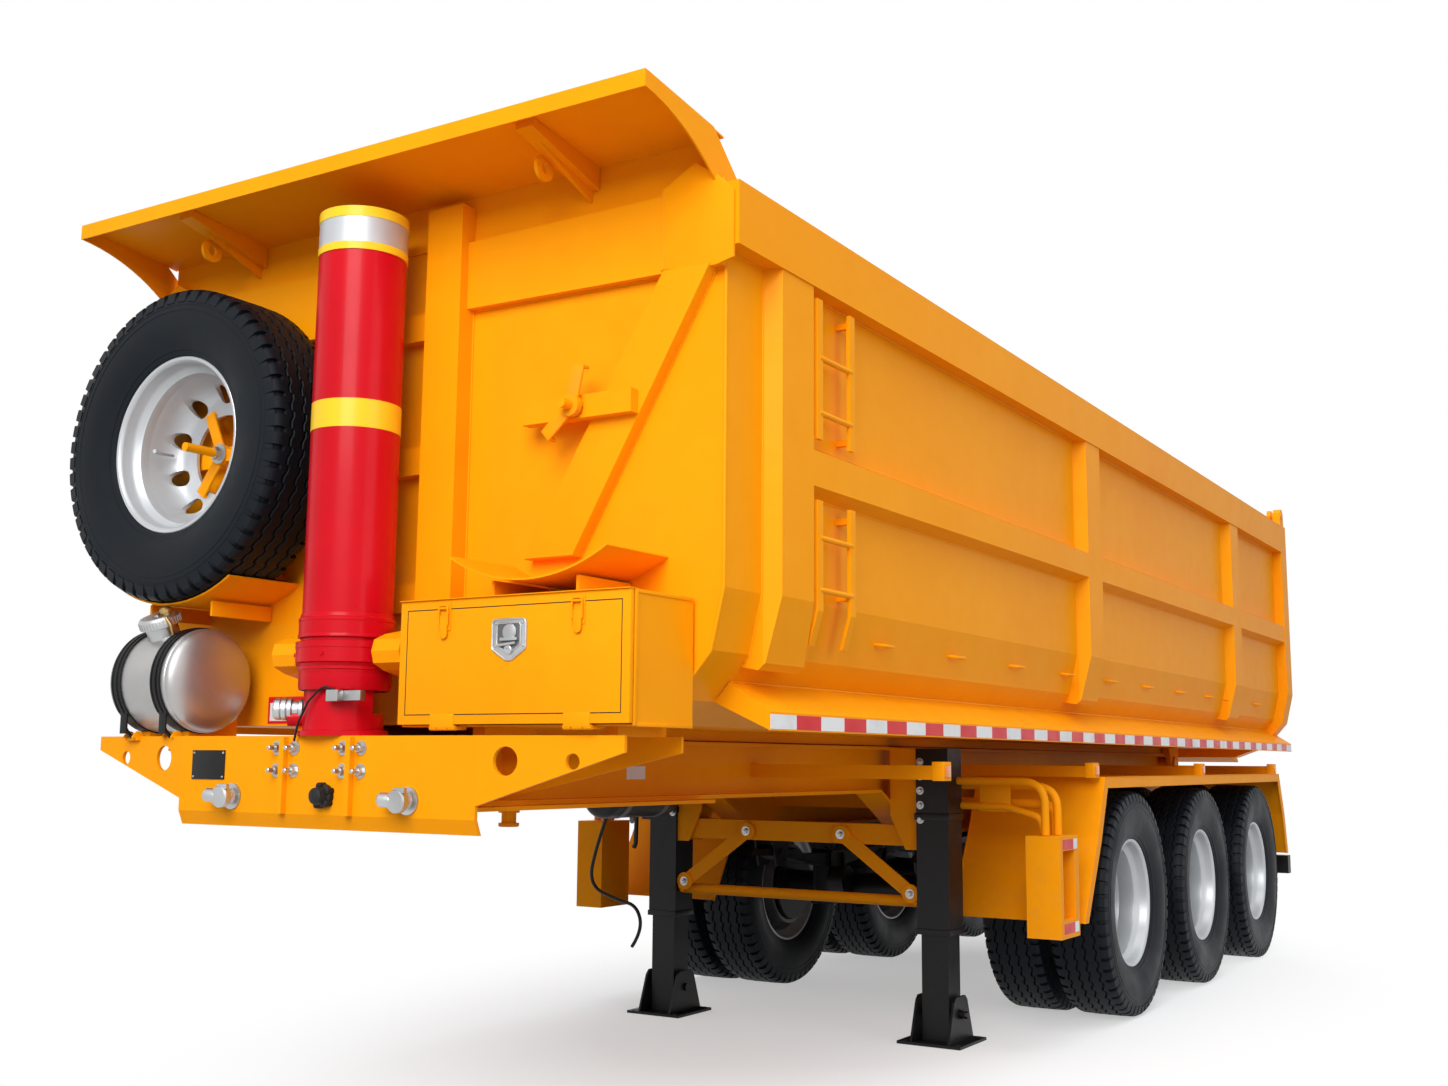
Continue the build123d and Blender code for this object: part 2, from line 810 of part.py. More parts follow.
with BuildPart() as rear_frame:
    frame_d = body_half - tub_half
    cross_plate(section_band(0.0, frame_d, rail_top_z), tub_rear_x, rear_frame_front_x)
    for side in (-1.0, 1.0):
        y0, y1 = sorted((side * (tub_half + 5.0), side * (body_half - 5.0)))
        pin_lug = [
            (gate_pin_x - 55.0, rail_top_z - 1.0),
            (gate_pin_x - 45.0, gate_pin_z + 15.0),
            (gate_pin_x - 20.0, gate_pin_z + 42.0),
            (gate_pin_x + 20.0, gate_pin_z + 42.0),
            (gate_pin_x + 45.0, gate_pin_z + 15.0),
            (gate_pin_x + 55.0, rail_top_z - 1.0),
        ]
        side_plate(pin_lug, y0, y1)
        rod(
            (gate_pin_x, y0 - 1.0, gate_pin_z),
            (gate_pin_x, y1 + 1.0, gate_pin_z),
            gate_pin_r + pin_gap,
            mode=Mode.SUBTRACT,
        )
    # The chute slopes back and down from under the tailgate, with a rim at each side.
    chute_half = floor_half - 60.0
    chute_low_z = floor_z - frame_d
    chute = [
        (tub_rear_x + 1.0, chute_low_z + 26.0),
        (tub_rear_x - 70.0, chute_low_z + 18.0),
        (chute_x, chute_low_z - 22.0),
        (chute_x, chute_low_z - 32.0),
        (tub_rear_x - 70.0, chute_low_z + 4.0),
        (tub_rear_x + 1.0, chute_low_z + 8.0),
    ]
    side_plate(chute, -chute_half, chute_half)
    for side in (-1.0, 1.0):
        y0, y1 = sorted((side * chute_half, side * (chute_half - 8.0)))
        rim = [
            (tub_rear_x - 72.0, chute_low_z + 10.0),
            (tub_rear_x - 80.0, chute_low_z + 62.0),
            (chute_x + 60.0, chute_low_z + 38.0),
            (chute_x, chute_low_z - 26.0),
        ]
        side_plate(rim, y0, y1)
finish(rear_frame, "rear_frame")

with BuildPart() as tailgate:
    gate_front_x = tub_rear_x - gate_gap
    gate_rear_x = gate_front_x - gate_t - gate_rib_d
    gate_lap = 32.0
    gate_top_z = rail_top_z - 10.0
    sheet = grown(half_section, gate_lap)
    sheet[0] = (sheet[0][0], gate_top_z)
    cross_plate(mirrored(sheet), gate_front_x - gate_t, gate_front_x)
    cross_plate(section_band(-48.0, gate_lap, gate_top_z), gate_rear_x, gate_front_x)
    for z in (gate_top_z - 90.0, 2330.0, 1850.0):
        block(gate_rear_x, gate_front_x, 50.0 - tub_half, tub_half - 50.0, z, z + 90.0)
    for y in (-420.0, 420.0):
        block(gate_rear_x + 8.0, gate_front_x, y - 45.0, y + 45.0, floor_z + 20.0, gate_top_z - 20.0)
    arm_out_y = tub_half - sheet_t - 6.0
    for side in (-1.0, 1.0):
        y0, y1 = sorted((side * (arm_out_y - 25.0), side * arm_out_y))
        arm = [
            (gate_pin_x - 20.0, gate_pin_z + 38.0),
            (gate_pin_x + 20.0, gate_pin_z + 38.0),
            (gate_pin_x + 40.0, gate_pin_z),
            (gate_pin_x + 20.0, gate_pin_z - 38.0),
            (gate_pin_x - 50.0, gate_pin_z - 48.0),
            (gate_front_x - 1.0, gate_top_z - 2.0),
            (gate_front_x - 1.0, gate_top_z - 160.0),
            (gate_rear_x, gate_top_z - 200.0),
            (gate_rear_x, gate_top_z + 30.0),
        ]
        side_plate(arm, y0, y1)
        ends = sorted((side * (arm_out_y - 30.0), side * (body_half - 3.0)))
        rod((gate_pin_x, ends[0], gate_pin_z), (gate_pin_x, ends[1], gate_pin_z), gate_pin_r)
finish(tailgate, "tailgate")

# ---------------------------------------------------------------- chassis

with BuildPart() as chassis_frame:
    front_x = nose_x - nose_t
    deep_x = neck_end_x - neck_slope
    web = [
        (beam_rear_x, deck_z - flange_t),
        (front_x, deck_z - flange_t),
        (front_x, neck_z + flange_t),
        (neck_end_x, neck_z + flange_t),
        (deep_x, beam_low_z + flange_t),
        (beam_rear_x, beam_low_z + flange_t),
    ]
    side_plate(web, beam_y - web_t / 2, beam_y + web_t / 2)
    flange_in = beam_y - flange_w / 2
    flange_out = beam_y + flange_w / 2
    block(beam_rear_x, front_x, flange_in, flange_out, deck_z - flange_t, deck_z)
    lower = [
        (beam_rear_x, beam_low_z),
        (deep_x, beam_low_z),
        (neck_end_x, neck_z),
        (front_x, neck_z),
        (front_x, neck_z + flange_t),
        (neck_end_x, neck_z + flange_t),
        (deep_x, beam_low_z + flange_t),
        (beam_rear_x, beam_low_z + flange_t),
    ]
    side_plate(lower, flange_in, flange_out)
    outrigger = [
        (beam_y + web_t / 2 - 1.0, neck_z + flange_t),
        (beam_y + web_t / 2 - 1.0, deck_z - flange_t),
        (flange_out - 1.0, deck_z - flange_t),
        (flange_out - 1.0, deck_z),
        (wing_tip_y, deck_z),
        (wing_tip_y, deck_z - wing_tip_h),
    ]
    cross_plate(outrigger, outrigger_x, outrigger_x + outrigger_t)
    mirror(about=Plane.XZ)
    half = beam_y - web_t / 2
    for x in cross_places:
        low = neck_z + flange_t if x > neck_end_x else beam_low_z + 110.0
        channel(x, low, deck_z - flange_t, half + 1.0)
    # A deck plate between the beams carries the hoist's foot.
    block(hoist_x - 150.0, front_x, -flange_in - 1.0, flange_in + 1.0, deck_z - flange_t, deck_z)
    # The tipping shaft crosses both beams and carries the tub's ears.
    shaft_y = ear_y + ear_t + 14.0
    rod((tip_x, -shaft_y, tip_z), (tip_x, shaft_y, tip_z), shaft_r)
    for side in (-1.0, 1.0):
        ends = sorted((side * (ear_y + ear_t + 5.0), side * shaft_y))
        rod((tip_x, ends[0], tip_z), (tip_x, ends[1], tip_z), shaft_r + 17.0)
        ends = sorted((side * (beam_y + web_t / 2 - 1.0), side * (ear_y - 5.0)))
        rod((tip_x, ends[0], tip_z), (tip_x, ends[1], tip_z), shaft_r + 15.0)
    # Two saddles carry the tank on the right, and two bars the toolbox on the left.
    bed_front_x = nose_x - wing_sweep - nose_t - 5.0
    for y in strap_places:
        block(outrigger_x + outrigger_t - 1.0, bed_front_x, y - 22.0, y + 22.0, deck_z - 30.0, deck_z)
        block(tank_x - 150.0, bed_front_x, y - 22.0, y + 22.0, deck_z - 1.0, tank_z - 90.0)
        rod(
            (tank_x, y - 23.0, tank_z),
            (tank_x, y + 23.0, tank_z),
            tank_r + strap_t,
            mode=Mode.SUBTRACT,
        )
    for y in (box_right_y + 230.0, box_left_y - 120.0):
        block(outrigger_x, bed_front_x - 35.0, y - 22.0, y + 22.0, deck_z - 1.0, box_low_z)
finish(chassis_frame, "chassis_frame")

with BuildPart() as front_plate:
    block(nose_x - nose_t, nose_x, -nose_half, nose_half, nose_low_z, deck_z)
    lip = [
        (nose_x - nose_t, nose_low_z),
        (nose_x, nose_low_z),
        (nose_x - 18.0, nose_low_z - lip_drop),
        (nose_x - 30.0, nose_low_z - lip_drop),
    ]
    side_plate(lip, -nose_half, nose_half)
    wing = [
        (nose_x - nose_t, nose_half - 1.0),
        (nose_x, nose_half - 1.0),
        (nose_x - wing_sweep, wing_tip_y),
        (nose_x - wing_sweep - nose_t, wing_tip_y),
    ]
    flat_plate(wing, deck_z - wing_root_h, deck_z)
    taper = [
        (nose_half, deck_z - wing_root_h),
        (wing_tip_y + 1.0, deck_z - wing_tip_h),
        (wing_tip_y + 1.0, deck_z - wing_root_h - 1.0),
        (nose_half, deck_z - wing_root_h - 1.0),
    ]
    cross_plate(taper, nose_x - 100.0, nose_x + 10.0, mode=Mode.SUBTRACT)
    for y, r in ((nose_half + 95.0, 40.0), (nose_half + 310.0, 22.0)):
        rod((nose_x - 100.0, y, deck_z - 70.0), (nose_x + 10.0, y, deck_z - 70.0), r, mode=Mode.SUBTRACT)
    block(
        nose_x - 1.0,
        nose_x + nose_rib,
        nose_rib_y - nose_rib / 2,
        nose_rib_y + nose_rib / 2,
        nose_low_z,
        deck_z - 4.0,
    )
    mirror(about=Plane.XZ)
finish(front_plate, "front_plate")

with BuildPart() as couplings:
    for y in (-coupling_y, coupling_y):
        rod((nose_x, y, coupling_z), (nose_x + 26.0, y, coupling_z), coupling_r)
        rod((nose_x + 25.0, y, coupling_z), (nose_x + 42.0, y, coupling_z), coupling_r - 12.0)
    rod((nose_x, 36.0, coupling_z + 8.0), (nose_x + 34.0, 36.0, coupling_z + 8.0), 34.0)
finish(couplings, "couplings")

with BuildPart() as coupler:
    # The plate's front edge turns up behind the nose plate.
    bed = [
        (coupler_rear_x, neck_z),
        (nose_x - nose_t, neck_z),
        (nose_x - nose_t, neck_z - coupler_t),
        (coupler_rear_x, neck_z - coupler_t),
    ]
    side_plate(bed, -nose_half + 40.0, nose_half - 40.0)
    top = neck_z - coupler_t
    pin = [
        (0.0, top + 1.0),
        (kingpin_collar_r + 24.0, top + 1.0),
        (kingpin_collar_r + 24.0, top - 8.0),
        (kingpin_collar_r, top - 12.0),
        (kingpin_collar_r, top - kingpin_l + 48.0),
        (kingpin_r, top - kingpin_l + 48.0),
        (kingpin_r, top - kingpin_l + 13.0),
        (kingpin_flange_r, top - kingpin_l + 13.0),
        (kingpin_flange_r, top - kingpin_l + 3.0),
        (kingpin_flange_r - 4.0, top - kingpin_l),
        (0.0, top - kingpin_l),
    ]
    turned_upright(pin, kingpin_x, 0.0)
finish(coupler, "coupler")

# ---------------------------------------------------------------- landing gear

with BuildPart() as landing_legs:
    for side in (-1.0, 1.0):
        y = side * leg_y
        half = leg_w / 2
        inner = leg_inner_w / 2
        block(leg_x - half, leg_x + half, y - half, y + half, leg_low_z, deck_z - 6.0)
        block(leg_x - inner, leg_x + inner, y - inner, y + inner, foot_t, leg_low_z + 1.0)
        block(leg_x - foot_w / 2, leg_x + foot_w / 2, y - foot_w / 2, y + foot_w / 2, 0.0, foot_t)
        # Two upright cheeks hold the leg in its shoe.
        cheek = [
            (leg_x - foot_w / 2 + 12.0, foot_t - 1.0),
            (leg_x - 72.0, 175.0),
            (leg_x - 50.0, 195.0),
            (leg_x + 50.0, 195.0),
            (leg_x + 72.0, 175.0),
            (leg_x + foot_w / 2 - 12.0, foot_t - 1.0),
        ]
        for way in (-1.0, 1.0):
            y0, y1 = sorted((y + way * (inner + 18.0), y + way * (inner + 28.0)))
            side_plate(cheek, y0, y1)
        rod((leg_x, y - inner - 40.0, 120.0), (leg_x, y + inner + 40.0, 120.0), 18.0)
    # The crank shaft leaves the right leg's gearbox.
    rod((leg_x + 30.0, -leg_y - leg_w / 2 + 1.0, 980.0), (leg_x + 30.0, -leg_y - 170.0, 980.0), 12.0)
    block(leg_x - 60.0, leg_x + 60.0, -leg_y - leg_w / 2 - 60.0, -leg_y - leg_w / 2 + 1.0, 900.0, 1060.0)
finish(landing_legs, "landing_legs")

with BuildPart() as leg_bracing:
    inner_face = leg_y - leg_w / 2
    block(leg_x - 40.0, leg_x + 40.0, 0.0, inner_face, brace_z - brace_h / 2, brace_z + brace_h / 2)
    rod((leg_x, 0.0, tie_z), (leg_x, inner_face, tie_z), 24.0)
    for x in (leg_x - 55.0, leg_x + 55.0):
        bracket = [
            (beam_y + flange_w / 2, deck_z - 1.0),
            (inner_face, deck_z - 10.0),
            (inner_face, brace_z - 60.0),
            (inner_face - 60.0, brace_z - 60.0),
            (beam_y + flange_w / 2, neck_z - 100.0),
        ]
        cross_plate(bracket, x - 6.0, x + 6.0)
    strut(
        (leg_x + 46.0, 240.0, brace_z),
        (leg_x + 46.0, inner_face, tie_z + 8.0),
        12.0,
        60.0,
        (1, 0, 0),
    )
    mirror(about=Plane.XZ)
    add(landing_legs.part, mode=Mode.SUBTRACT)
finish(leg_bracing, "leg_bracing")

# ---------------------------------------------------------------- axles and suspension

with BuildPart() as axles:
    for x in axle_places:
        beam_half = inner_tyre_y - tyre_w / 2 + 24.0
        rod((x, -beam_half, tyre_r), (x, beam_half, tyre_r), axle_r)
        spindle_end = (outer_tyre_y + inner_tyre_y) / 2 + 84.0
        rod((x, -spindle_end, tyre_r), (x, spindle_end, tyre_r), spindle_r)
        for side in (-1.0, 1.0):
            ends = sorted((side * (beam_half - 18.0), side * beam_half))
            rod((x, ends[0], tyre_r), (x, ends[1], tyre_r), drum_r - 20.0)
            # A brake chamber stands in front of the axle on each side.
            rod((x + 130.0, side * 250.0, tyre_r + 40.0), (x + 130.0, side * 340.0, tyre_r + 40.0), 75.0)
            strut(
                (x + 40.0, side * 295.0, tyre_r + 20.0),
                (x + 100.0, side * 295.0, tyre_r + 40.0),
                40.0,
                60.0,
                (0, 1, 0),
            )
finish(axles, "axles")

with BuildPart() as suspension:
    spring_w = 90.0
    seat_top = tyre_r + axle_r + 34.0
    spring_half = 560.0
    eye_z = 705.0
    half = spring_w / 2
    for x in axle_places:
        leaf = [
            (x - spring_half, eye_z),
            (x - 300.0, seat_top + 22.0),
            (x - 90.0, seat_top),
            (x + 90.0, seat_top),
            (x + 300.0, seat_top + 22.0),
            (x + spring_half, eye_z),
            (x + spring_half, eye_z + 14.0),
            (x + 90.0, seat_top + 66.0),
            (x - 90.0, seat_top + 66.0),
            (x - spring_half, eye_z + 14.0),
        ]
        side_plate(leaf, beam_y - half, beam_y + half)
        block(x - 85.0, x + 85.0, beam_y - half, beam_y + half, tyre_r, seat_top + 1.0)
        for bolt_x in (x - 70.0, x + 70.0):
            for bolt_y in (beam_y - half - 8.0, beam_y + half + 8.0):
                rod((bolt_x, bolt_y, tyre_r - axle_r - 20.0), (bolt_x, bolt_y, seat_top + 90.0), 9.0)
        # The clamp plates above the leaves and under the axle
        clamp_bottoms = ((seat_top + 65.0, seat_top + 80.0), (tyre_r - axle_r - 14.0, tyre_r - axle_r + 1.0))
        for z0, z1 in clamp_bottoms:
            block(x - 85.0, x + 85.0, beam_y - half - 20.0, beam_y + half + 20.0, z0, z1)
        rod((x, beam_y - half - 20.0, tyre_r), (x, beam_y + half + 20.0, tyre_r), axle_r + 0.2)
    hanger_half = half + 12.0
    between = axle_pitch / 2
    hangers = [axle_places[0] + between - 30.0]
    hangers += [x - between for x in axle_places[:-1]]
    hangers += [axle_places[-1] - between + 30.0]
    for n, x in enumerate(hangers):
        outline = [
            (x - 95.0, beam_low_z),
            (x + 95.0, beam_low_z),
            (x + 60.0, eye_z + 8.0),
            (x + 45.0, eye_z - 40.0),
            (x - 45.0, eye_z - 40.0),
            (x - 60.0, eye_z + 8.0),
        ]
        side_plate(outline, beam_y - hanger_half, beam_y - hanger_half + 12.0)
        side_plate(outline, beam_y + hanger_half - 12.0, beam_y + hanger_half)
        # The equalizer, or at the ends the slipper, bears on the spring ends.
        rocker = [
            (x - 130.0, eye_z + 15.0),
            (x - 110.0, eye_z + 45.0),
            (x, eye_z + 62.0),
            (x + 110.0, eye_z + 45.0),
            (x + 130.0, eye_z + 15.0),
            (x + 60.0, eye_z + 13.0),
            (x, eye_z - 10.0),
            (x - 60.0, eye_z + 13.0),
        ]
        side_plate(rocker, beam_y - half + 6.0, beam_y + half - 6.0)
        pin_z = eye_z + 25.0
        rod((x, beam_y - hanger_half - 8.0, pin_z), (x, beam_y + hanger_half + 8.0, pin_z), 18.0)
    mirror(about=Plane.XZ)
    add(axles.part, mode=Mode.SUBTRACT)
finish(suspension, "suspension")

# ---------------------------------------------------------------- fenders, arms, guards, bumper, lamps

with BuildPart() as fenders:
    first = axle_places[0] + tyre_r
    last = axle_places[-1] - tyre_r
    path = [
        (first + 320.0, 500.0),
        (first + 105.0, 860.0),
        (first - 20.0, fender_top_z),
        (last - 60.0, fender_top_z),
        (last - 180.0, 860.0),
        (last - 250.0, 600.0),
    ]
    side_plate(path + grown(path, -fender_t)[::-1], fender_in_y, fender_out_y)
    mirror(about=Plane.XZ)
finish(fenders, "fenders")

with BuildPart() as lamp_arms:
    for x in arm_places:
        low = fender_top_z + fender_t
        end = fender_out_y - 20.0
        block(x - arm_w / 2, x + arm_w / 2, beam_y + web_t / 2, end, low, low + arm_w)
    mirror(about=Plane.XZ)
finish(lamp_arms, "lamp_arms")

with BuildPart() as side_guards:
    block(guard_rear_x, guard_front_x, guard_in_y, fender_out_y, guard_low_z, guard_top_z)
    block(
        guard_rear_x + 50.0,
        guard_front_x - 35.0,
        guard_in_y + 30.0,
        fender_out_y,
        guard_low_z + 75.0,
        guard_top_z - 60.0,
        mode=Mode.SUBTRACT,
    )
    tube_y = (guard_in_y + fender_out_y) / 2
    tube_x = 850.0
    tube_z = 1010.0
    with BuildLine() as bent:
        FilletPolyline(
            (tube_x, beam_y + web_t / 2, tube_z),
            (tube_x, tube_y, tube_z),
            (tube_x, tube_y, guard_top_z - 1.0),
            radius=60.0,
        )
    with BuildSketch(Plane(origin=bent.line @ 0, z_dir=bent.line % 0)) as bore:
        Circle(21.0)
    sweep(bore.sketch, path=bent.line)
    mirror(about=Plane.XZ)
finish(side_guards, "side_guards")

with BuildPart() as rear_bumper:
    low = bumper_low_z
    block(bumper_x - 40.0, bumper_x + 40.0, -bumper_half, bumper_half, low, low + bumper_h)
    for side in (-1.0, 1.0):
        hanger = [
            (beam_rear_x, beam_low_z + 170.0),
            (bumper_x + 30.0, low + bumper_h + 10.0),
            (bumper_x + 30.0, low),
            (bumper_x + 80.0, low),
            (beam_rear_x, beam_low_z),
        ]
        side_plate(hanger, side * beam_y - 40.0, side * beam_y + 40.0)
finish(rear_bumper, "rear_bumper")

with BuildPart() as lamps:
    for side in (-1.0, 1.0):
        for x in arm_places:
            low = fender_top_z + fender_t
            y0, y1 = sorted((side * (fender_out_y - 20.0), side * fender_out_y))
            block(x - 36.0, x + 36.0, y0, y1, low, low + arm_w + 10.0)
        y0, y1 = sorted((side * 760.0, side * 1130.0))
        block(bumper_x - 72.0, bumper_x - 40.0, y0, y1, bumper_low_z + 12.0, bumper_low_z + bumper_h - 12.0)
finish(lamps, "lamps")

# ---------------------------------------------------------------- toolbox and tank

with BuildPart() as toolbox:
    body_front_x = box_front_x - door_t - 5.0
    block(box_rear_x, body_front_x, box_right_y, box_left_y, box_low_z, box_top_z)
    block(
        box_rear_x + box_t,
        box_front_x,
        box_right_y + box_t,
        box_left_y - box_t,
        box_low_z + box_t,
        box_top_z - box_t,
        mode=Mode.SUBTRACT,
    )
    hinge_x = box_front_x - 6.0
    hinge_z = box_low_z - 4.0
    hinge_r = 7.0
    for y in (box_right_y + 170.0, box_left_y - 170.0):
        for way in (-1.0, 1.0):
            centre = y + way * 34.0
            rod((hinge_x, centre - 13.0, hinge_z), (hinge_x, centre + 13.0, hinge_z), hinge_r)
            block(body_front_x - 30.0, hinge_x, centre - 13.0, centre + 13.0, hinge_z - 5.0, box_low_z)
finish(toolbox, "toolbox")

with BuildPart() as toolbox_door:
    door_low_z = box_low_z + 6.0
    block(box_front_x - door_t, box_front_x, box_right_y, box_left_y, door_low_z, box_top_z)
    block(
        box_front_x - 4.0,
        box_front_x,
        box_right_y + 60.0,
        box_left_y - 60.0,
        door_low_z + 60.0,
        box_top_z - 60.0,
        mode=Mode.SUBTRACT,
    )
    for y in (box_right_y + 170.0, box_left_y - 170.0):
        rod((hinge_x, y - 18.0, hinge_z), (hinge_x, y + 18.0, hinge_z), hinge_r)
        block(hinge_x, hinge_x + hinge_r, y - 18.0, y + 18.0, hinge_z, door_low_z + 1.0)
        block(box_front_x - 1.0, box_front_x + 14.0, y - 22.0, y + 22.0, box_top_z - 85.0, box_top_z - 12.0)
    middle = (box_right_y + box_left_y) / 2
    lock_top_z = box_top_z - 60.0
    block(box_front_x - 5.0, box_front_x + 5.0, middle - 60.0, middle + 60.0, lock_top_z - 120.0, lock_top_z)
finish(toolbox_door, "toolbox_door")

with BuildPart() as hydraulic_tank:
    shell_profile = [
        (0.0, tank_end_y),
        (tank_r - 80.0, tank_end_y + 5.0),
        (tank_r - 28.0, tank_end_y + 18.0),
        (tank_r, tank_end_y + tank_dome),
        (tank_r, tank_dome_y - tank_dome),
        (tank_r - 28.0, tank_dome_y - 18.0),
        (tank_r - 80.0, tank_dome_y - 5.0),
        (0.0, tank_dome_y),
    ]
    turned(shell_profile, tank_x, tank_z)
    # The filler neck leans forward between the straps.
    filler_y = (strap_places[0] + strap_places[1]) / 2
    lean = radians(filler_lean)
    for near, far, r in ((tank_r - 14.0, tank_r + 28.0, 50.0), (tank_r + 27.0, tank_r + 68.0, 66.0)):
        start = (tank_x + near * sin(lean), filler_y, tank_z + near * cos(lean))
        end = (tank_x + far * sin(lean), filler_y, tank_z + far * cos(lean))
        rod(start, end, r)
finish(hydraulic_tank, "hydraulic_tank")

with BuildPart() as tank_straps:
    for y in strap_places:
        ring = [
            (tank_r, y - strap_w / 2),
            (tank_r + strap_t, y - strap_w / 2),
            (tank_r + strap_t, y + strap_w / 2),
            (tank_r, y + strap_w / 2),
        ]
        turned(ring, tank_x, tank_z)
finish(tank_straps, "tank_straps")

# ---------------------------------------------------------------- hoist

stage_1_r = barrel_r - barrel_wall - 5.0
stage_radii = [stage_1_r - stage_step * n for n in range(stage_count)]
barrel_low_z = trunnion_z - collar_h / 2 - 29.0
gland_h = 36.0

with BuildPart() as hoist_barrel:
    bore = barrel_r - barrel_wall
    seal = stage_radii[0] + gland_gap
    wall = [
        (0.0, hoist_top_z),
        (barrel_r, hoist_top_z),
        (barrel_r, trunnion_z + 105.0),
        (barrel_r + 8.0, trunnion_z + 92.0),
        (barrel_r + 8.0, trunnion_z + 50.0),
        (barrel_r, trunnion_z + 44.0),
        (barrel_r, trunnion_z + collar_h / 2),
        (collar_r, trunnion_z + collar_h / 2),
        (collar_r, trunnion_z - collar_h / 2),
        (barrel_r + 4.0, trunnion_z - collar_h / 2 - 8.0),
        (barrel_r + 4.0, barrel_low_z),
        (seal, barrel_low_z),
        (seal, barrel_low_z + gland_h),
        (bore, barrel_low_z + gland_h),
        (bore, hoist_top_z - 12.0),
        (0.0, hoist_top_z - 12.0),
    ]
    turned_upright(wall, hoist_x, 0.0)
    for side in (-1.0, 1.0):
        ends = sorted((side * (collar_r - 6.0), side * (front_post_y + front_post_w / 2)))
        rod((hoist_x, ends[0], trunnion_z), (hoist_x, ends[1], trunnion_z), trunnion_r)
finish(hoist_barrel, "hoist_barrel")

for n, radius in enumerate(stage_radii):
    with BuildPart() as stage:
        low_z = barrel_low_z - stage_show * (n + 1)
        high_z = hoist_top_z - 30.0 - 12.0 * n
        ring_r = radius + 9.0
        if n + 1 < stage_count:
            seal = stage_radii[n + 1] + gland_gap
            bore = radius - stage_wall
            wall = [
                (seal, low_z),
                (ring_r, low_z),
                (ring_r, low_z + stage_show - 1.0),
                (radius, low_z + stage_show - 1.0),
                (radius, high_z),
                (bore, high_z),
                (bore, low_z + gland_h),
                (seal, low_z + gland_h),
            ]
            turned_upright(wall, hoist_x, 0.0)
        else:
            ball_r = 60.0
            collar_z = hoist_foot_z + 17.0
            wall = [
                (0.0, collar_z - 20.0),
                (44.0, collar_z - 20.0),
                (70.0, collar_z),
                (70.0, low_z - 4.0),
                (radius, low_z),
                (radius, high_z),
                (0.0, high_z),
            ]
            turned_upright(wall, hoist_x, 0.0)
            with Locations((hoist_x, 0.0, hoist_foot_z)):
                Sphere(ball_r)
    finish(stage, f"hoist_stage_{n + 1}")

with BuildPart() as hoist_pedestal:
    cup = [
        (0.0, deck_z),
        (134.0, deck_z),
        (134.0, deck_z + 15.0),
        (120.0, deck_z + 18.0),
        (120.0, hoist_foot_z + 42.0),
        (108.0, hoist_foot_z + 42.0),
        (108.0, hoist_foot_z - 5.0),
        (45.0, hoist_foot_z - 66.0),
        (0.0, hoist_foot_z - 66.0),
    ]
    turned_upright(cup, hoist_x, 0.0)
    # The cup's rear half is open, so that the ball can swing back out of it.
    slot_z = hoist_foot_z - 30.0
    block(hoist_x - 130.0, hoist_x, -130.0, 130.0, slot_z, slot_z + 80.0, mode=Mode.SUBTRACT)
    # The oil port faces forward and to the right.
    port_z = hoist_foot_z - 40.0
    rod((hoist_x + 50.0, -70.0, port_z), (hoist_x + 96.0, -134.0, port_z), 26.0)
finish(hoist_pedestal, "hoist_pedestal")

# ---------------------------------------------------------------- air tank and its loose hose

with BuildPart() as air_tank:
    start = (air_tank_x - air_tank_l / 2, air_tank_y, air_tank_z)
    end = (air_tank_x + air_tank_l / 2, air_tank_y, air_tank_z)
    rod(start, end, air_tank_r)
    fillet(air_tank.edges().filter_by(GeomType.CIRCLE), 35.0)
finish(air_tank, "air_tank")

# The hose hangs from the valve with a bare end.
hose_route = [
    (valve_x, valve_y, hose_top_z),
    (valve_x, -890.0, 790.0),
    (valve_x, -935.0, 600.0),
    (valve_x, -770.0, 540.0),
    (valve_x, -655.0, 522.0),
    (valve_x, -622.0, 412.0),
    (valve_x, -680.0, 335.0),
]
hose_points = [Vector(*point) for point in hose_route]
hose_radii = []
for before, here, after in zip(hose_points, hose_points[1:], hose_points[2:]):
    turn = (here - before).get_angle(after - here)
    shorter = min((here - before).length, (after - here).length)
    hose_radii.append(0.45 * shorter / tan(radians(turn / 2)))
with BuildPart() as air_valve:
    # A flat bar from the beam runs over the tank and carries the valve at its end.
    bar_z = air_tank_z + air_tank_r
    block(valve_x - 25.0, valve_x + 25.0, valve_y - 30.0, -beam_y - web_t / 2, bar_z, bar_z + 8.0)
    block(valve_x - 35.0, valve_x + 35.0, valve_y - 32.0, valve_y + 32.0, hose_top_z + 20.0, bar_z + 1.0)
    # The spigot lies in line with the hose's first run.
    spigot_end = hose_points[0] + (hose_points[0] - hose_points[1]).normalized() * 32.0
    rod(hose_points[0], spigot_end, hose_r + 4.0)
finish(air_valve, "air_valve")

with BuildPart() as air_hose:
    with BuildLine() as route:
        FilletPolyline(*hose_points, radius=hose_radii)
    with BuildSketch(Plane(origin=route.line @ 0, z_dir=route.line % 0)) as bore:
        Circle(hose_r)
    sweep(bore.sketch, path=route.line)
finish(air_hose, "air_hose")
print("hose radii", [round(r) for r in hose_radii])
hose_length = sum(edge.length for edge in route.edges())
print("hose length", round(hose_length), "volume", round(air_hose.part.volume))
print("hose section times length", round(pi * hose_r**2 * hose_length))
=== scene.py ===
from math import cos, pi, radians, sin, tan

import bmesh
import bpy
from mathutils import Matrix, Vector


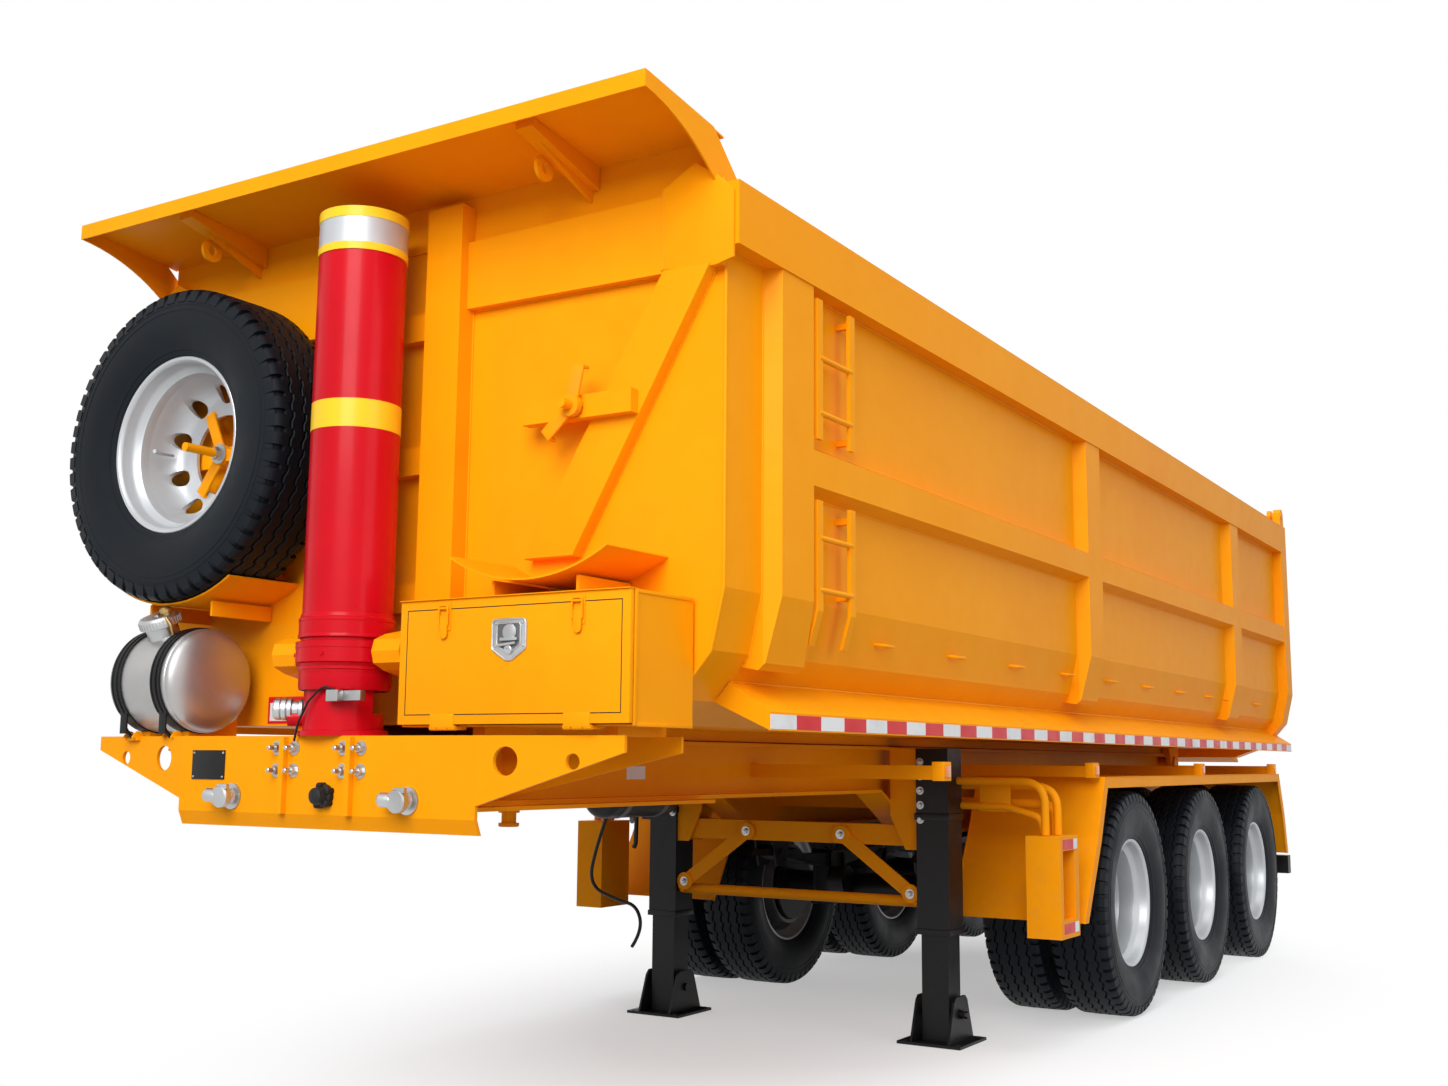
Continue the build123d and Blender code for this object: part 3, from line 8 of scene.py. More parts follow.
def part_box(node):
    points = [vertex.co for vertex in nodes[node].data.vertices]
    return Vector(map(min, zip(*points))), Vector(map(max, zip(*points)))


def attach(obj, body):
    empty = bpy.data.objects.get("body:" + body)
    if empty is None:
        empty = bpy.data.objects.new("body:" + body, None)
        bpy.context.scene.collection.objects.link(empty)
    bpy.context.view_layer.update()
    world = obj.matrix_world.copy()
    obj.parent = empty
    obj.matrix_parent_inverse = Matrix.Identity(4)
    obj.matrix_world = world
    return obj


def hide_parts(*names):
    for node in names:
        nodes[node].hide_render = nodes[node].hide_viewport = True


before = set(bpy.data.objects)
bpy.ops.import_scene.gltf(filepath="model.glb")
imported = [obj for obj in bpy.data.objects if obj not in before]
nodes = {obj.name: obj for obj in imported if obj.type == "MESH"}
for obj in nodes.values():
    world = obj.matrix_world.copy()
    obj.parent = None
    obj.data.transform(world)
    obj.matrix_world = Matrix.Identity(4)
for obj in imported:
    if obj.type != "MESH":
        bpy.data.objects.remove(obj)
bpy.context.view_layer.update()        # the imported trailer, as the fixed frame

print("frame loaded")

cameraSpec = {
    "place": (7.198, 3.394, 1.188),
    "yaw": 31.57,      # degrees to the right of straight back
    "pitch": 8.19,     # degrees up
    "roll": 0.43,
    "focal": 37.45,    # mm on a 36 mm wide sensor
}


def addCamera(spec):
    yaw, pitch, roll = (radians(spec[name]) for name in ("yaw", "pitch", "roll"))
    ahead = Vector((-cos(pitch) * cos(yaw), -cos(pitch) * sin(yaw), sin(pitch)))
    level = ahead.cross(Vector((0, 0, 1))).normalized()
    upright = level.cross(ahead)
    across = cos(roll) * level + sin(roll) * upright
    upward = cos(roll) * upright - sin(roll) * level
    data = bpy.data.cameras.new("camera")
    data.sensor_width = 36.0
    data.lens = spec["focal"]
    data.clip_end = 200.0
    camera = bpy.data.objects.new("camera", data)
    turn = Matrix((across, upward, -ahead)).transposed().to_4x4()
    camera.matrix_world = Matrix.Translation(spec["place"]) @ turn
    bpy.context.collection.objects.link(camera)
    bpy.context.scene.camera = camera


addCamera(cameraSpec)
print("camera placed")


class Wire:
    # one output socket, with the arithmetic that the materials use

    def __init__(self, network, socket):
        self.network = network
        self.socket = socket

    def maths(self, operation, *values, clamp=False):
        settings = {"operation": operation, "use_clamp": clamp}
        return self.network.node("ShaderNodeMath", settings, dict(enumerate(values)))

    def __add__(self, other):
        return self.maths("ADD", self, other)

    def __radd__(self, other):
        return self.maths("ADD", other, self)

    def __sub__(self, other):
        return self.maths("SUBTRACT", self, other)

    def __rsub__(self, other):
        return self.maths("SUBTRACT", other, self)

    def __mul__(self, other):
        return self.maths("MULTIPLY", self, other)

    def __rmul__(self, other):
        return self.maths("MULTIPLY", other, self)

    def ramp(self, low, high):
        # 0 at low, 1 at high, straight between them
        return self.maths("MULTIPLY", self - low, 1.0 / (high - low), clamp=True)


class Network:
    # a node tree that is filled through one method

    def __init__(self, owner):
        owner.use_nodes = True
        self.tree = owner.node_tree
        self.tree.nodes.clear()

    def node(self, kind, settings=None, sockets=None, outlet=0):
        made = self.tree.nodes.new(kind)
        for name, value in (settings or {}).items():
            setattr(made, name, value)
        for name, value in (sockets or {}).items():
            self.feed(made.inputs[name], value)
        return Wire(self, made.outputs[outlet]) if made.outputs else None

    def feed(self, inlet, value):
        if isinstance(value, Wire):
            self.tree.links.new(value.socket, inlet)
        elif inlet.type == "RGBA":
            inlet.default_value = (*value, 1.0)
        else:
            inlet.default_value = value

    def seenDirectly(self):
        # 1 where the camera or a reflection looks, 0 where light falls on the object
        seen = self.node("ShaderNodeLightPath", outlet="Is Camera Ray")
        for outlet in ("Is Glossy Ray", "Is Transmission Ray"):
            seen = seen.maths("MAXIMUM", seen, self.node("ShaderNodeLightPath", outlet=outlet))
        return seen


class Finish(Network):
    # a material being built round one shader

    def __init__(self, name, **sockets):
        self.material = bpy.data.materials.new(name)
        super().__init__(self.material)
        self.shader = self.node("ShaderNodeBsdfPrincipled")
        self.wear(**sockets)
        self.place = self.node("ShaderNodeTexCoord", outlet="Object")

    def done(self, surface=None):
        self.node("ShaderNodeOutputMaterial", None, {"Surface": surface or self.shader})
        return self.material

    def wear(self, **sockets):
        for name, value in sockets.items():
            self.feed(self.shader.socket.node.inputs[name.replace("_", " ")], value)

    def scaled(self, factors):
        # the place, stretched by three factors
        return self.node("ShaderNodeVectorMath", {"operation": "MULTIPLY"}, {0: self.place, 1: factors})

    def noise(self, scale, detail=3.0, rough=0.5, place=None):
        values = {"Vector": place or self.place, "Scale": scale, "Detail": detail, "Roughness": rough}
        return self.node("ShaderNodeTexNoise", None, values)

    def mix(self, factor, first, second):
        return self.node("ShaderNodeMix", {"data_type": "RGBA"}, {0: factor, 6: first, 7: second}, 2)

    def bump(self, height, strength, distance, under=None):
        values = {"Height": height, "Strength": strength, "Distance": distance}
        if under:
            values["Normal"] = under
        return self.node("ShaderNodeBump", None, values)


def paintFinish(name, spec):
    # sprayed coat on sheet steel: slow waves of the sheet, fine orange peel, a little dust low down
    paint = Finish(name, Coat_Weight=spec["coat"], Coat_Roughness=0.1, Specular_IOR_Level=spec["shine"])
    cloud = paint.noise(0.8, 3.0)
    fine = paint.noise(9.0, 4.0)
    tone = (cloud * 0.7 + fine * 0.3).ramp(0.36, 0.68)
    colour = paint.mix(tone * 0.7, spec["colour"], spec["deep"])
    if spec["dust"]:
        height = paint.node("ShaderNodeSeparateXYZ", None, {0: paint.place}, "Z")
        specks = paint.noise(14.0, 6.0, 0.7).ramp(0.45, 0.75)
        colour = paint.mix((1.0 - height.ramp(0.1, 1.2)) * specks * spec["dust"], colour, (0.28, 0.2, 0.12))
    sheet = paint.bump(paint.noise(1.9, 2.0), 0.3, spec["waves"])
    peel = paint.bump(paint.noise(380.0, 2.0), 0.1, 0.0006, under=sheet)
    paint.wear(Base_Color=colour, Roughness=spec["rough"] + 0.12 * fine, Normal=peel)
    return paint.done()


def grainFinish(name, spec):
    # black coat, tyre or rubber: greyer where it is worn, with a fine grain
    dark = Finish(name, Coat_Weight=spec["coat"], Specular_IOR_Level=spec["shine"])
    low, high = spec["range"]
    worn = dark.noise(*spec["wear"]).ramp(low, high)
    dark.wear(
        Base_Color=dark.mix(worn * spec["share"], spec["colour"], spec["worn"]),
        Roughness=spec["rough"] + 0.2 * worn,
        Normal=dark.bump(dark.noise(spec["grain"], 3.0), *spec["bump"]),
    )
    return dark.done()


def metalFinish(name, spec):
    # metal with fine marks drawn along one way, and slow clouding
    metal = Finish(name, Metallic=spec["metal"], Coat_Weight=spec["coat"])
    marks = metal.noise(spec["scale"], 4.0, place=metal.scaled(spec["grain"]))
    cloud = metal.noise(5.0, 4.0).ramp(0.3, 0.8)
    metal.wear(
        Base_Color=metal.mix(cloud, spec["bright"], spec["dull"]),
        Roughness=spec["rough"] + 0.14 * marks,
        Normal=metal.bump(marks, 0.1, 0.0009),
    )
    return metal.done()


def lensFinish(name, colour, deep):
    # moulded plastic with fine flutes
    lens = Finish(name, Coat_Weight=0.7, Coat_Roughness=0.05)
    settings = {"wave_type": "BANDS", "bands_direction": "DIAGONAL"}
    flutes = lens.node("ShaderNodeTexWave", settings, {"Vector": lens.place, "Scale": 60.0}, "Fac")
    lens.wear(
        Base_Color=lens.mix(flutes, colour, deep),
        Roughness=0.16 + 0.1 * flutes,
        Normal=lens.bump(flutes, 0.3, 0.0012),
    )
    return lens.done()


def tapeFinish(name, colour, deep):
    # reflective tape: small cells under a dusty film
    tape = Finish(name, Coat_Weight=0.05, Coat_Roughness=0.1, Specular_IOR_Level=0.2)
    cells = tape.node("ShaderNodeTexVoronoi", None, {"Vector": tape.place, "Scale": 260.0}, "Distance")
    film = tape.noise(14.0, 4.0).ramp(0.45, 0.8)
    tape.wear(
        Base_Color=tape.mix(film * 0.6, colour, deep),
        Roughness=0.28 + 0.2 * film,
        Normal=tape.bump(cells, 0.12, 0.0006),
    )
    return tape.done()


paints = {
    "yellow": {
        "colour": (0.97, 0.36, 0.003), "deep": (0.9, 0.3, 0.002), "dust": 0.2,
        "rough": 0.38, "coat": 0.02, "shine": 0.05, "waves": 0.004,
    },
    "red": {
        "colour": (0.6, 0.003, 0.012), "deep": (0.46, 0.002, 0.008), "dust": 0.0,
        "rough": 0.26, "coat": 0.06, "shine": 0.12, "waves": 0.001,
    },
    "band": {
        "colour": (0.92, 0.6, 0.02), "deep": (0.84, 0.5, 0.015), "dust": 0.0,
        "rough": 0.3, "coat": 0.1, "shine": 0.2, "waves": 0.001,
    },
}
metals = {
    "silver": {
        "bright": (0.56, 0.58, 0.6), "dull": (0.47, 0.485, 0.5), "metal": 0.45, "coat": 0.05,
        "rough": 0.34, "scale": 60.0, "grain": (0.25, 0.25, 6.0),
    },
    "tank": {
        "bright": (0.5, 0.49, 0.485), "dull": (0.38, 0.375, 0.37), "metal": 0.9, "coat": 0.0,
        "rough": 0.36, "scale": 140.0, "grain": (0.15, 5.0, 0.15),
    },
    "zinc": {
        "bright": (0.58, 0.59, 0.6), "dull": (0.36, 0.36, 0.35), "metal": 1.0, "coat": 0.0,
        "rough": 0.3, "scale": 200.0, "grain": (1.0, 1.0, 3.0),
    },
    "brass": {
        "bright": (0.62, 0.42, 0.16), "dull": (0.38, 0.24, 0.09), "metal": 1.0, "coat": 0.0,
        "rough": 0.3, "scale": 200.0, "grain": (1.0, 3.0, 1.0),
    },
    "cast": {
        "bright": (0.2, 0.2, 0.205), "dull": (0.09, 0.085, 0.08), "metal": 0.6, "coat": 0.0,
        "rough": 0.5, "scale": 120.0, "grain": (1.0, 1.0, 1.0),
    },
}
grains = {
    "black": {
        "name": "satinBlack", "colour": (0.0055, 0.0055, 0.006), "worn": (0.02, 0.021, 0.022), "share": 0.5,
        "wear": (7.0, 6.0, 0.65), "range": (0.5, 0.8),
        "rough": 0.4, "coat": 0.03, "shine": 0.25, "grain": 260.0, "bump": (0.2, 0.0008),
    },
    "tyre": {
        "name": "tyreRubber", "colour": (0.0028, 0.0046, 0.007), "worn": (0.0066, 0.01, 0.015), "share": 0.6,
        "wear": (5.0, 5.0, 0.6), "range": (0.35, 0.75),
        "rough": 0.42, "coat": 0.0, "shine": 0.16, "grain": 300.0, "bump": (0.25, 0.0008),
    },
    "rubber": {
        "name": "blackRubber", "colour": (0.005, 0.005, 0.0055), "worn": (0.016, 0.016, 0.017), "share": 1.0,
        "wear": (11.0, 4.0), "range": (0.4, 0.75),
        "rough": 0.42, "coat": 0.0, "shine": 0.25, "grain": 180.0, "bump": (0.2, 0.0006),
    },
}
finishes = {name: paintFinish(name + "Paint", spec) for name, spec in paints.items()}
finishes.update({name: grainFinish(spec["name"], spec) for name, spec in grains.items()})
finishes.update({name: metalFinish(name + "Metal", spec) for name, spec in metals.items()})
finishes.update({
    "redLens": lensFinish("redLens", (0.55, 0.012, 0.01), (0.32, 0.006, 0.006)),
    "amberLens": lensFinish("amberLens", (0.85, 0.24, 0.01), (0.6, 0.13, 0.006)),
    "blue": lensFinish("blueCap", (0.03, 0.22, 0.5), (0.02, 0.14, 0.36)),
    "tapeRed": tapeFinish("redTape", (0.66, 0.01, 0.018), (0.5, 0.02, 0.025)),
    "tapeWhite": tapeFinish("whiteTape", (0.78, 0.79, 0.8), (0.58, 0.58, 0.57)),
})
print("materials made")

nodeFinish = {
    "couplings": "zinc", "landing_legs": "black", "axles": "black", "suspension": "black",
    "lamps": "redLens", "hydraulic_tank": "tank", "tank_straps": "rubber", "hoist_pedestal": "red",
    "hoist_barrel": "red", "air_tank": "black", "air_valve": "black", "rear_bumper": "black",
}
for name, shown in nodes.items():
    key = "red" if name.startswith("hoist_stage") else nodeFinish.get(name, "yellow")
    shown.data.materials.clear()
    shown.data.materials.append(finishes[key])


def place(name, mesh, finish, body, slot=None, turn=None, sharp=32):
    piece = bpy.data.objects.new(name, mesh)
    bpy.context.collection.objects.link(piece)
    if turn:
        piece.matrix_world = turn
    if not mesh.materials:
        mesh.materials.append(finishes[finish])
        mesh.polygons.foreach_set("use_smooth", [True] * len(mesh.polygons))
        mesh.set_sharp_from_angle(angle=radians(sharp))
    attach(piece, body)
    return piece


def meshOf(name, build):
    # a mesh from a function that fills a bmesh
    mesh = bpy.data.meshes.new(name)
    shape = bmesh.new()
    build(shape)
    bmesh.ops.recalc_face_normals(shape, faces=shape.faces)
    shape.to_mesh(mesh)
    shape.free()
    return mesh


def make(name, build, finish, body, slot=None, turn=None):
    return place(name, meshOf(name, build), finish, body, slot, turn)


def part(finish, body, slot=None):
    # a piece that the function below makes, under the function's name
    return lambda build: make(build.__name__, build, finish, body, slot)


def ringBand(shape, rings, closed):
    # faces between neighbouring rings of points, each ring closed on itself
    pairs = list(zip(rings, rings[1:]))
    if closed:
        pairs.append((rings[-1], rings[0]))
    for low, high in pairs:
        steps = max(len(low), len(high))
        for n in range(steps):
            m = (n + 1) % steps
            corners = [low[n % len(low)], low[m % len(low)], high[m % len(high)], high[n % len(high)]]
            corners = list(dict.fromkeys(corners))
            if len(corners) > 2:
                shape.faces.new(corners)


def middleOf(node):
    # the middle of a solid's box
    return sum(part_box(node), Vector()) / 2


def around(r, a, height=0.0):
    return Vector((r * cos(a), r * sin(a), height))


def spokes(count, start=0.0):
    # evenly spread angles
    return [2 * pi * n / count + start for n in range(count)]


def lathe(shape, profile, steps, turn=Matrix.Identity(4), closed=False):
    # (radius, height) points turned about the local Z axis, then moved by turn
    rings = []
    for r, h in profile:
        angles = spokes(steps) if r > 1e-6 else [0.0]
        rings.append([shape.verts.new(turn @ around(r, a, h)) for a in angles])
    ringBand(shape, rings, closed)


def aim(point, direction, spin=0.0):
    # a place whose Z runs along direction
    turn = Vector(direction).normalized().to_track_quat("Z", "Y").to_matrix().to_4x4()
    return Matrix.Translation(point) @ turn @ Matrix.Rotation(spin, 4, "Z")


def band(inner, outer, low, high):
    # the profile of a plain round between two radii and two heights
    return [(inner, low), (outer, low), (outer, high), (inner, high)]


def easeEdges(shape, edges, ease):
    bmesh.ops.bevel(shape, geom=list(edges), offset=ease, segments=2, affect="EDGES", profile=0.6)


def slab(shape, low, high, ease=0.0, turn=Matrix.Identity(4)):
    # a block between two corners with eased edges
    centre = (Vector(low) + Vector(high)) / 2
    size = Vector(high) - Vector(low)
    fit = turn @ Matrix.Translation(centre) @ Matrix.Diagonal((*size, 1))
    made = bmesh.ops.create_cube(shape, matrix=fit)
    if ease:
        easeEdges(shape, {edge for vert in made["verts"] for edge in vert.link_edges}, ease)


def slabPair(shape, low, high, ease=0.0):
    # the same block on both sides of the middle
    for side in (-1, 1):
        inner, outer = sorted((side * low[1], side * high[1]))
        slab(shape, (low[0], inner, low[2]), (high[0], outer, high[2]), ease)


def prism(shape, outline, depth, turn, ease=0.0):
    # a flat outline in local X and Y, as deep as depth along local Z
    low = [shape.verts.new(turn @ Vector((x, y, 0.0))) for x, y in outline]
    high = [shape.verts.new(turn @ Vector((x, y, depth))) for x, y in outline]
    shape.faces.new(low[::-1])
    top = shape.faces.new(high)
    for n in range(len(outline)):
        m = (n + 1) % len(outline)
        shape.faces.new((low[n], low[m], high[m], high[n]))
    if ease:
        easeEdges(shape, top.edges, ease)


def tube(shape, points, radius, sides=12):
    # a round bar along points, mitred at its bends
    points = [Vector(point) for point in points]
    rings = []
    side = None
    for n, point in enumerate(points):
        ahead = (points[min(n + 1, len(points) - 1)] - points[max(n - 1, 0)]).normalized()
        side = side or ahead.orthogonal().normalized()
        side = (side - ahead * side.dot(ahead)).normalized()
        other = ahead.cross(side)
        angles = [2 * pi * k / sides for k in range(sides)]
        rings.append([shape.verts.new(point + radius * (cos(a) * side + sin(a) * other)) for a in angles])
    ringBand(shape, rings, False)
    shape.faces.new(rings[0][::-1])
    shape.faces.new(rings[-1])


def bend(points, radius, steps=6):
    # points with each corner rounded off
    points = [Vector(point) for point in points]
    out = [points[0]]
    for before, here, after in zip(points, points[1:], points[2:]):
        first, second = before - here, after - here
        reach = min(radius / tan(first.angle(second) / 2), 0.48 * first.length, 0.48 * second.length)
        start, end = here + first.normalized() * reach, here + second.normalized() * reach
        for n in range(steps + 1):
            t = n / steps
            out.append((1 - t) ** 2 * start + 2 * t * (1 - t) * here + t * t * end)
    return out + [points[-1]]


boltSpec = {
    # as shares of the bolt's size
    "washer": 1.75, "corner": 1.12, "rim": 0.98, "shoulder": 1.1, "height": 1.3, "stud": 0.58,
    "thick": 0.0025,    # m, the washer
    "chamfer": 0.002,
}


def bolt(shape, point, direction, size=0.011, stud=0.0, spin=0.3):
    # washer, hexagon head and, with a stud, its threaded end
    turn = aim(point, direction, spin)
    washer, corner, rim, shoulder, height, r = (
        size * boltSpec[name] for name in ("washer", "corner", "rim", "shoulder", "height", "stud")
    )
    chamfer = boltSpec["chamfer"]
    lathe(shape, band(0.0, washer, 0.0, boltSpec["thick"]), 18, turn)
    lathe(
        shape, [(0.0, chamfer), (corner, chamfer), (corner, shoulder), (rim, height), (0.0, height)], 6,
        turn,
    )
    if stud:
        shaft = [(0.0, size), (r, size), (r, stud - chamfer), (r - chamfer, stud), (0.0, stud)]
        lathe(shape, shaft, 12, turn)


print("tools ready")

hoseSpec = {
    "route": [
        (1.35, -0.823, 0.95), (1.35, -0.89, 0.79), (1.35, -0.935, 0.6), (1.35, -0.77, 0.54),
        (1.35, -0.655, 0.522), (1.35, -0.622, 0.412), (1.35, -0.68, 0.335),
    ],
    "radius": 0.008,
    "length": 0.8,
}


def addHose(spec):
    curve = bpy.data.curves.new("airHose", "CURVE")
    curve.dimensions = "3D"
    line = curve.splines.new("NURBS")
    line.points.add(len(spec["route"]) - 1)
    for point, at in zip(line.points, spec["route"]):
        point.co = (*at, 1.0)
    line.order_u = 3
    line.use_endpoint_u = True
    line.resolution_u = 16
    curve.bevel_depth = spec["radius"]
    curve.bevel_resolution = 5
    curve.use_fill_caps = True
    curve.materials.append(finishes["rubber"])
    hose = bpy.data.objects.new("airHose", curve)
    bpy.context.collection.objects.link(hose)
    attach(hose, "chassis")
    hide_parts("air_hose")


addHose(hoseSpec)
print("hose hung")

tyreSpec = {
    "r": 0.527,
    "base": 0.5135,     # bottom of the tread grooves
    "pitches": 56,
    "wall": [
        (0.29, 0.09), (0.2995, 0.1005), (0.3035, 0.107), (0.31, 0.11), (0.317, 0.1125), (0.3185, 0.1155),
        (0.3225, 0.1165), (0.334, 0.121), (0.346, 0.1255), (0.361, 0.13), (0.38, 0.1345), (0.405, 0.138),
        (0.43, 0.1388), (0.4475, 0.1384), (0.4485, 0.1398), (0.4525, 0.1398), (0.4535, 0.1382),
        (0.4665, 0.1372), (0.4675, 0.1384), (0.4705, 0.1382), (0.4715, 0.1366), (0.484, 0.1345),
        (0.5, 0.128), (0.5115, 0.112), (0.5135, 0.098),
    ],
    "ribs": [(-0.069, -0.027), (-0.019, 0.019), (0.027, 0.069)],
    # each pitch: share of its length, way of the zigzag, and whether the shoulder is cut there
    "columns": [(0.04, 1, False), (0.4, 1, False), (0.7, -1, False), (0.745, -1, True), (0.985, -1, True)],
    "swing": 0.0048,
    "worn": 0.0008,     # what the crown stays under the tyre's radius
    "ease": 0.002,
    "shoulder": 0.077,
    "plain": [(0.5245, 0.11), (0.5195, 0.1225), (0.5125, 0.1305), (0.478, 0.1378)],
    "cut": [(0.5247, 0.0945), (0.5125, 0.0975), (0.504, 0.1255), (0.476, 0.1345)],
}


def weave(shape, lines, closed=True):
    # faces between neighbouring lines of points, and from the last to the first if closed
    for left, right in zip(lines, lines[1:] + lines[:closed]):
        for n in range(len(left) - 1):
            shape.faces.new((left[n], left[n + 1], right[n + 1], right[n]))


def buildTyre(shape):
    spec = tyreSpec
    wall, ease = spec["wall"], spec["ease"]
    lathe(shape, wall + [(r, -h) for r, h in reversed(wall)], 120)
    columns = [
        (2 * pi * (pitch + share) / spec["pitches"], way * spec["swing"], cut)
        for pitch in range(spec["pitches"]) for share, way, cut in spec["columns"]
    ]
    base, crown = spec["base"] - ease, spec["r"] - spec["worn"]

    def column(angle, section):
        return [shape.verts.new(around(r, angle, h)) for r, h in section]

    for low, high in spec["ribs"]:
        lines = []
        for angle, swing, _ in columns:
            edge = low + swing
            section = [(base, edge - ease), (crown - ease, edge), (crown, edge + ease)]
            section += [(r, low + high + 2 * swing - h) for r, h in reversed(section)]
            lines.append(column(angle, section))
        weave(shape, lines)
    for side in (-1, 1):
        lines = []
        for angle, swing, cut in columns:
            edge = spec["shoulder"] + side * swing
            section = [(base, edge - ease), (crown - 0.003, edge), (crown - 0.001, edge + ease)]
            section += spec["cut"] if cut else spec["plain"]
            lines.append(column(angle, [(r, side * h) for r, h in section]))
        weave(shape, lines)


rimSpec = {
    "outside": [
        (0.299, 0.1015), (0.2992, 0.0975), (0.2915, 0.0965), (0.286, 0.089), (0.2835, 0.055), (0.262, 0.035),
        (0.259, 0.02), (0.259, -0.045), (0.272, -0.058), (0.2835, -0.075), (0.286, -0.089),
        (0.2915, -0.0965), (0.2992, -0.0975), (0.299, -0.1015),
    ],
    "inside": [
        (0.2965, -0.1035), (0.288, -0.102), (0.2815, -0.094), (0.2785, -0.076), (0.267, -0.062),
        (0.254, -0.048), (0.254, 0.022), (0.257, 0.036), (0.272, 0.05), (0.2785, 0.06), (0.28, 0.09),
        (0.2825, 0.0965), (0.288, 0.102), (0.2965, 0.1035),
    ],
    "discFront": [
        (0.2545, 0.125), (0.25, 0.11), (0.243, 0.08), (0.23, 0.05), (0.212, 0.026), (0.19, 0.012),
        (0.178, 0.008), (0.105, 0.008),
    ],
    "discBack": [
        (0.105, -0.004), (0.182, -0.004), (0.196, 0.001), (0.219, 0.016), (0.236, 0.042), (0.246, 0.075),
        (0.2545, 0.11),
    ],
    "spareFront": [
        (0.2545, 0.006), (0.25, -0.012), (0.247, -0.036), (0.238, -0.062), (0.224, -0.086), (0.208, -0.1),
        (0.19, -0.105), (0.1405, -0.105),
    ],
    "spareBack": [
        (0.1405, -0.117), (0.196, -0.117), (0.214, -0.112), (0.23, -0.098), (0.244, -0.072), (0.2535, -0.04),
        (0.2545, -0.014),
    ],
    "holes": 10,
    "holeR": 0.03,
    "holeRing": 0.212,
    "pair": 0.162,      # each rim's distance from the middle of the twin wheel
    "behind": 0.0085,   # the inner wheel's disc lies behind the outer one's
}


def drilled(name, build):
    # the mesh of build with the hand holes bored through it
    spec = rimSpec

    def cutters(shape):
        for a in spokes(spec["holes"], pi / spec["holes"]):
            hole = Matrix.Translation(around(spec["holeRing"], a))
            lathe(shape, band(0.0, spec["holeR"], -0.3, 0.3), 28, hole)

    solid = bpy.data.objects.new("solid", meshOf("solid", build))
    tool = bpy.data.objects.new("tool", meshOf("tool", cutters))
    for item in (solid, tool):
        bpy.context.collection.objects.link(item)
    boring = solid.modifiers.new("boring", "BOOLEAN")
    boring.operation = "DIFFERENCE"
    boring.solver = "EXACT"
    boring.object = tool
    view = bpy.context.evaluated_depsgraph_get()
    mesh = bpy.data.meshes.new_from_object(solid.evaluated_get(view))
    mesh.name = name
    mesh.materials.clear()
    for item in (solid, tool):
        bpy.data.objects.remove(item)
    return mesh


def buildDiscs(shape):
    spec = rimSpec
    outline = spec["discFront"] + spec["discBack"]
    lathe(shape, outline, 96, closed=True)
    lathe(shape, [(r, -spec["behind"] - h) for r, h in outline], 96, closed=True)


def buildSpareDisc(shape):
    lathe(shape, rimSpec["spareFront"] + rimSpec["spareBack"], 96, closed=True)


def buildBarrel(shape, middle, steps=112):
    turn = Matrix.Translation((0, 0, middle))
    lathe(shape, rimSpec["outside"] + rimSpec["inside"], steps, turn, closed=True)


def buildTwinBarrels(shape):
    buildBarrel(shape, rimSpec["pair"])
    buildBarrel(shape, -rimSpec["pair"])


hubSpec = {
    "cap": [
        (0.0, 0.106), (0.054, 0.106), (0.06, 0.102), (0.064, 0.094), (0.07, 0.09), (0.088, 0.084),
        (0.1, 0.058), (0.104, 0.05), (0.105, 0.026), (0.122, 0.018), (0.126, 0.008), (0.126, 0.004),
        (0.0, 0.004),
    ],
    "drum": [
        (0.05, -0.02), (0.11, -0.02), (0.191, -0.052), (0.204, -0.056), (0.2045, -0.258), (0.209, -0.26),
        (0.209, -0.271), (0.191, -0.271), (0.191, -0.066), (0.1, -0.056), (0.05, -0.05),
    ],
    "boltRing": 0.078,
    "nutRing": 0.1675,
}


def buildHub(shape):
    lathe(shape, hubSpec["cap"], 48)
    lathe(shape, hubSpec["drum"], 64, closed=True)
    for a in spokes(8):
        bolt(shape, around(hubSpec["boltRing"], a, 0.085), (0, 0, 1), 0.007)


def buildNuts(shape):
    for a in spokes(rimSpec["holes"]):
        bolt(shape, around(hubSpec["nutRing"], a, 0.008), (0, 0, 1), 0.016, stud=0.036, spin=a)


tyreMesh = meshOf("tyre", buildTyre)
discMesh = drilled("wheelDiscs", buildDiscs)
barrelMesh = meshOf("wheelBarrels", buildTwinBarrels)
hubMesh = meshOf("wheelHub", buildHub)
nutMesh = meshOf("wheelNuts", buildNuts)
for number in (1, 2, 3):
    for side, out in (("left", 1), ("right", -1)):
        end = f"{number}_{side}"
        body = "wheel_" + end
        low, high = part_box(f"tyres_{end}")
        middle = (low + high) / 2
        spin = Matrix.Rotation(pi / 2 * number, 4, "Z")
        face = Matrix.Rotation(0 if out > 0 else pi, 4, "Z") @ Matrix.Rotation(-pi / 2, 4, "X")
        hub = Matrix.Translation(middle) @ face @ spin
        for row, shift in (("outer", rimSpec["pair"]), ("inner", -rimSpec["pair"])):
            turn = hub @ Matrix.Translation((0, 0, shift))
            tyre = place(f"tyre_{end}_{row}", tyreMesh, "tyre", body, "tyre_rubber", turn)
            if row == "outer":
                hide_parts(f"tyres_{end}")
        barrels = place(f"rims_{end}", barrelMesh, "silver", body, "wheel_silver", hub)
        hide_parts(f"wheel_{end}")
        place(f"discs_{end}", discMesh, "silver", body, "wheel_silver", hub)
        place(f"hub_{end}", hubMesh, "cast", body, "wheel_silver", hub)
        place(f"nuts_{end}", nutMesh, "zinc", body, "wheel_silver", hub)
print("road wheels built")

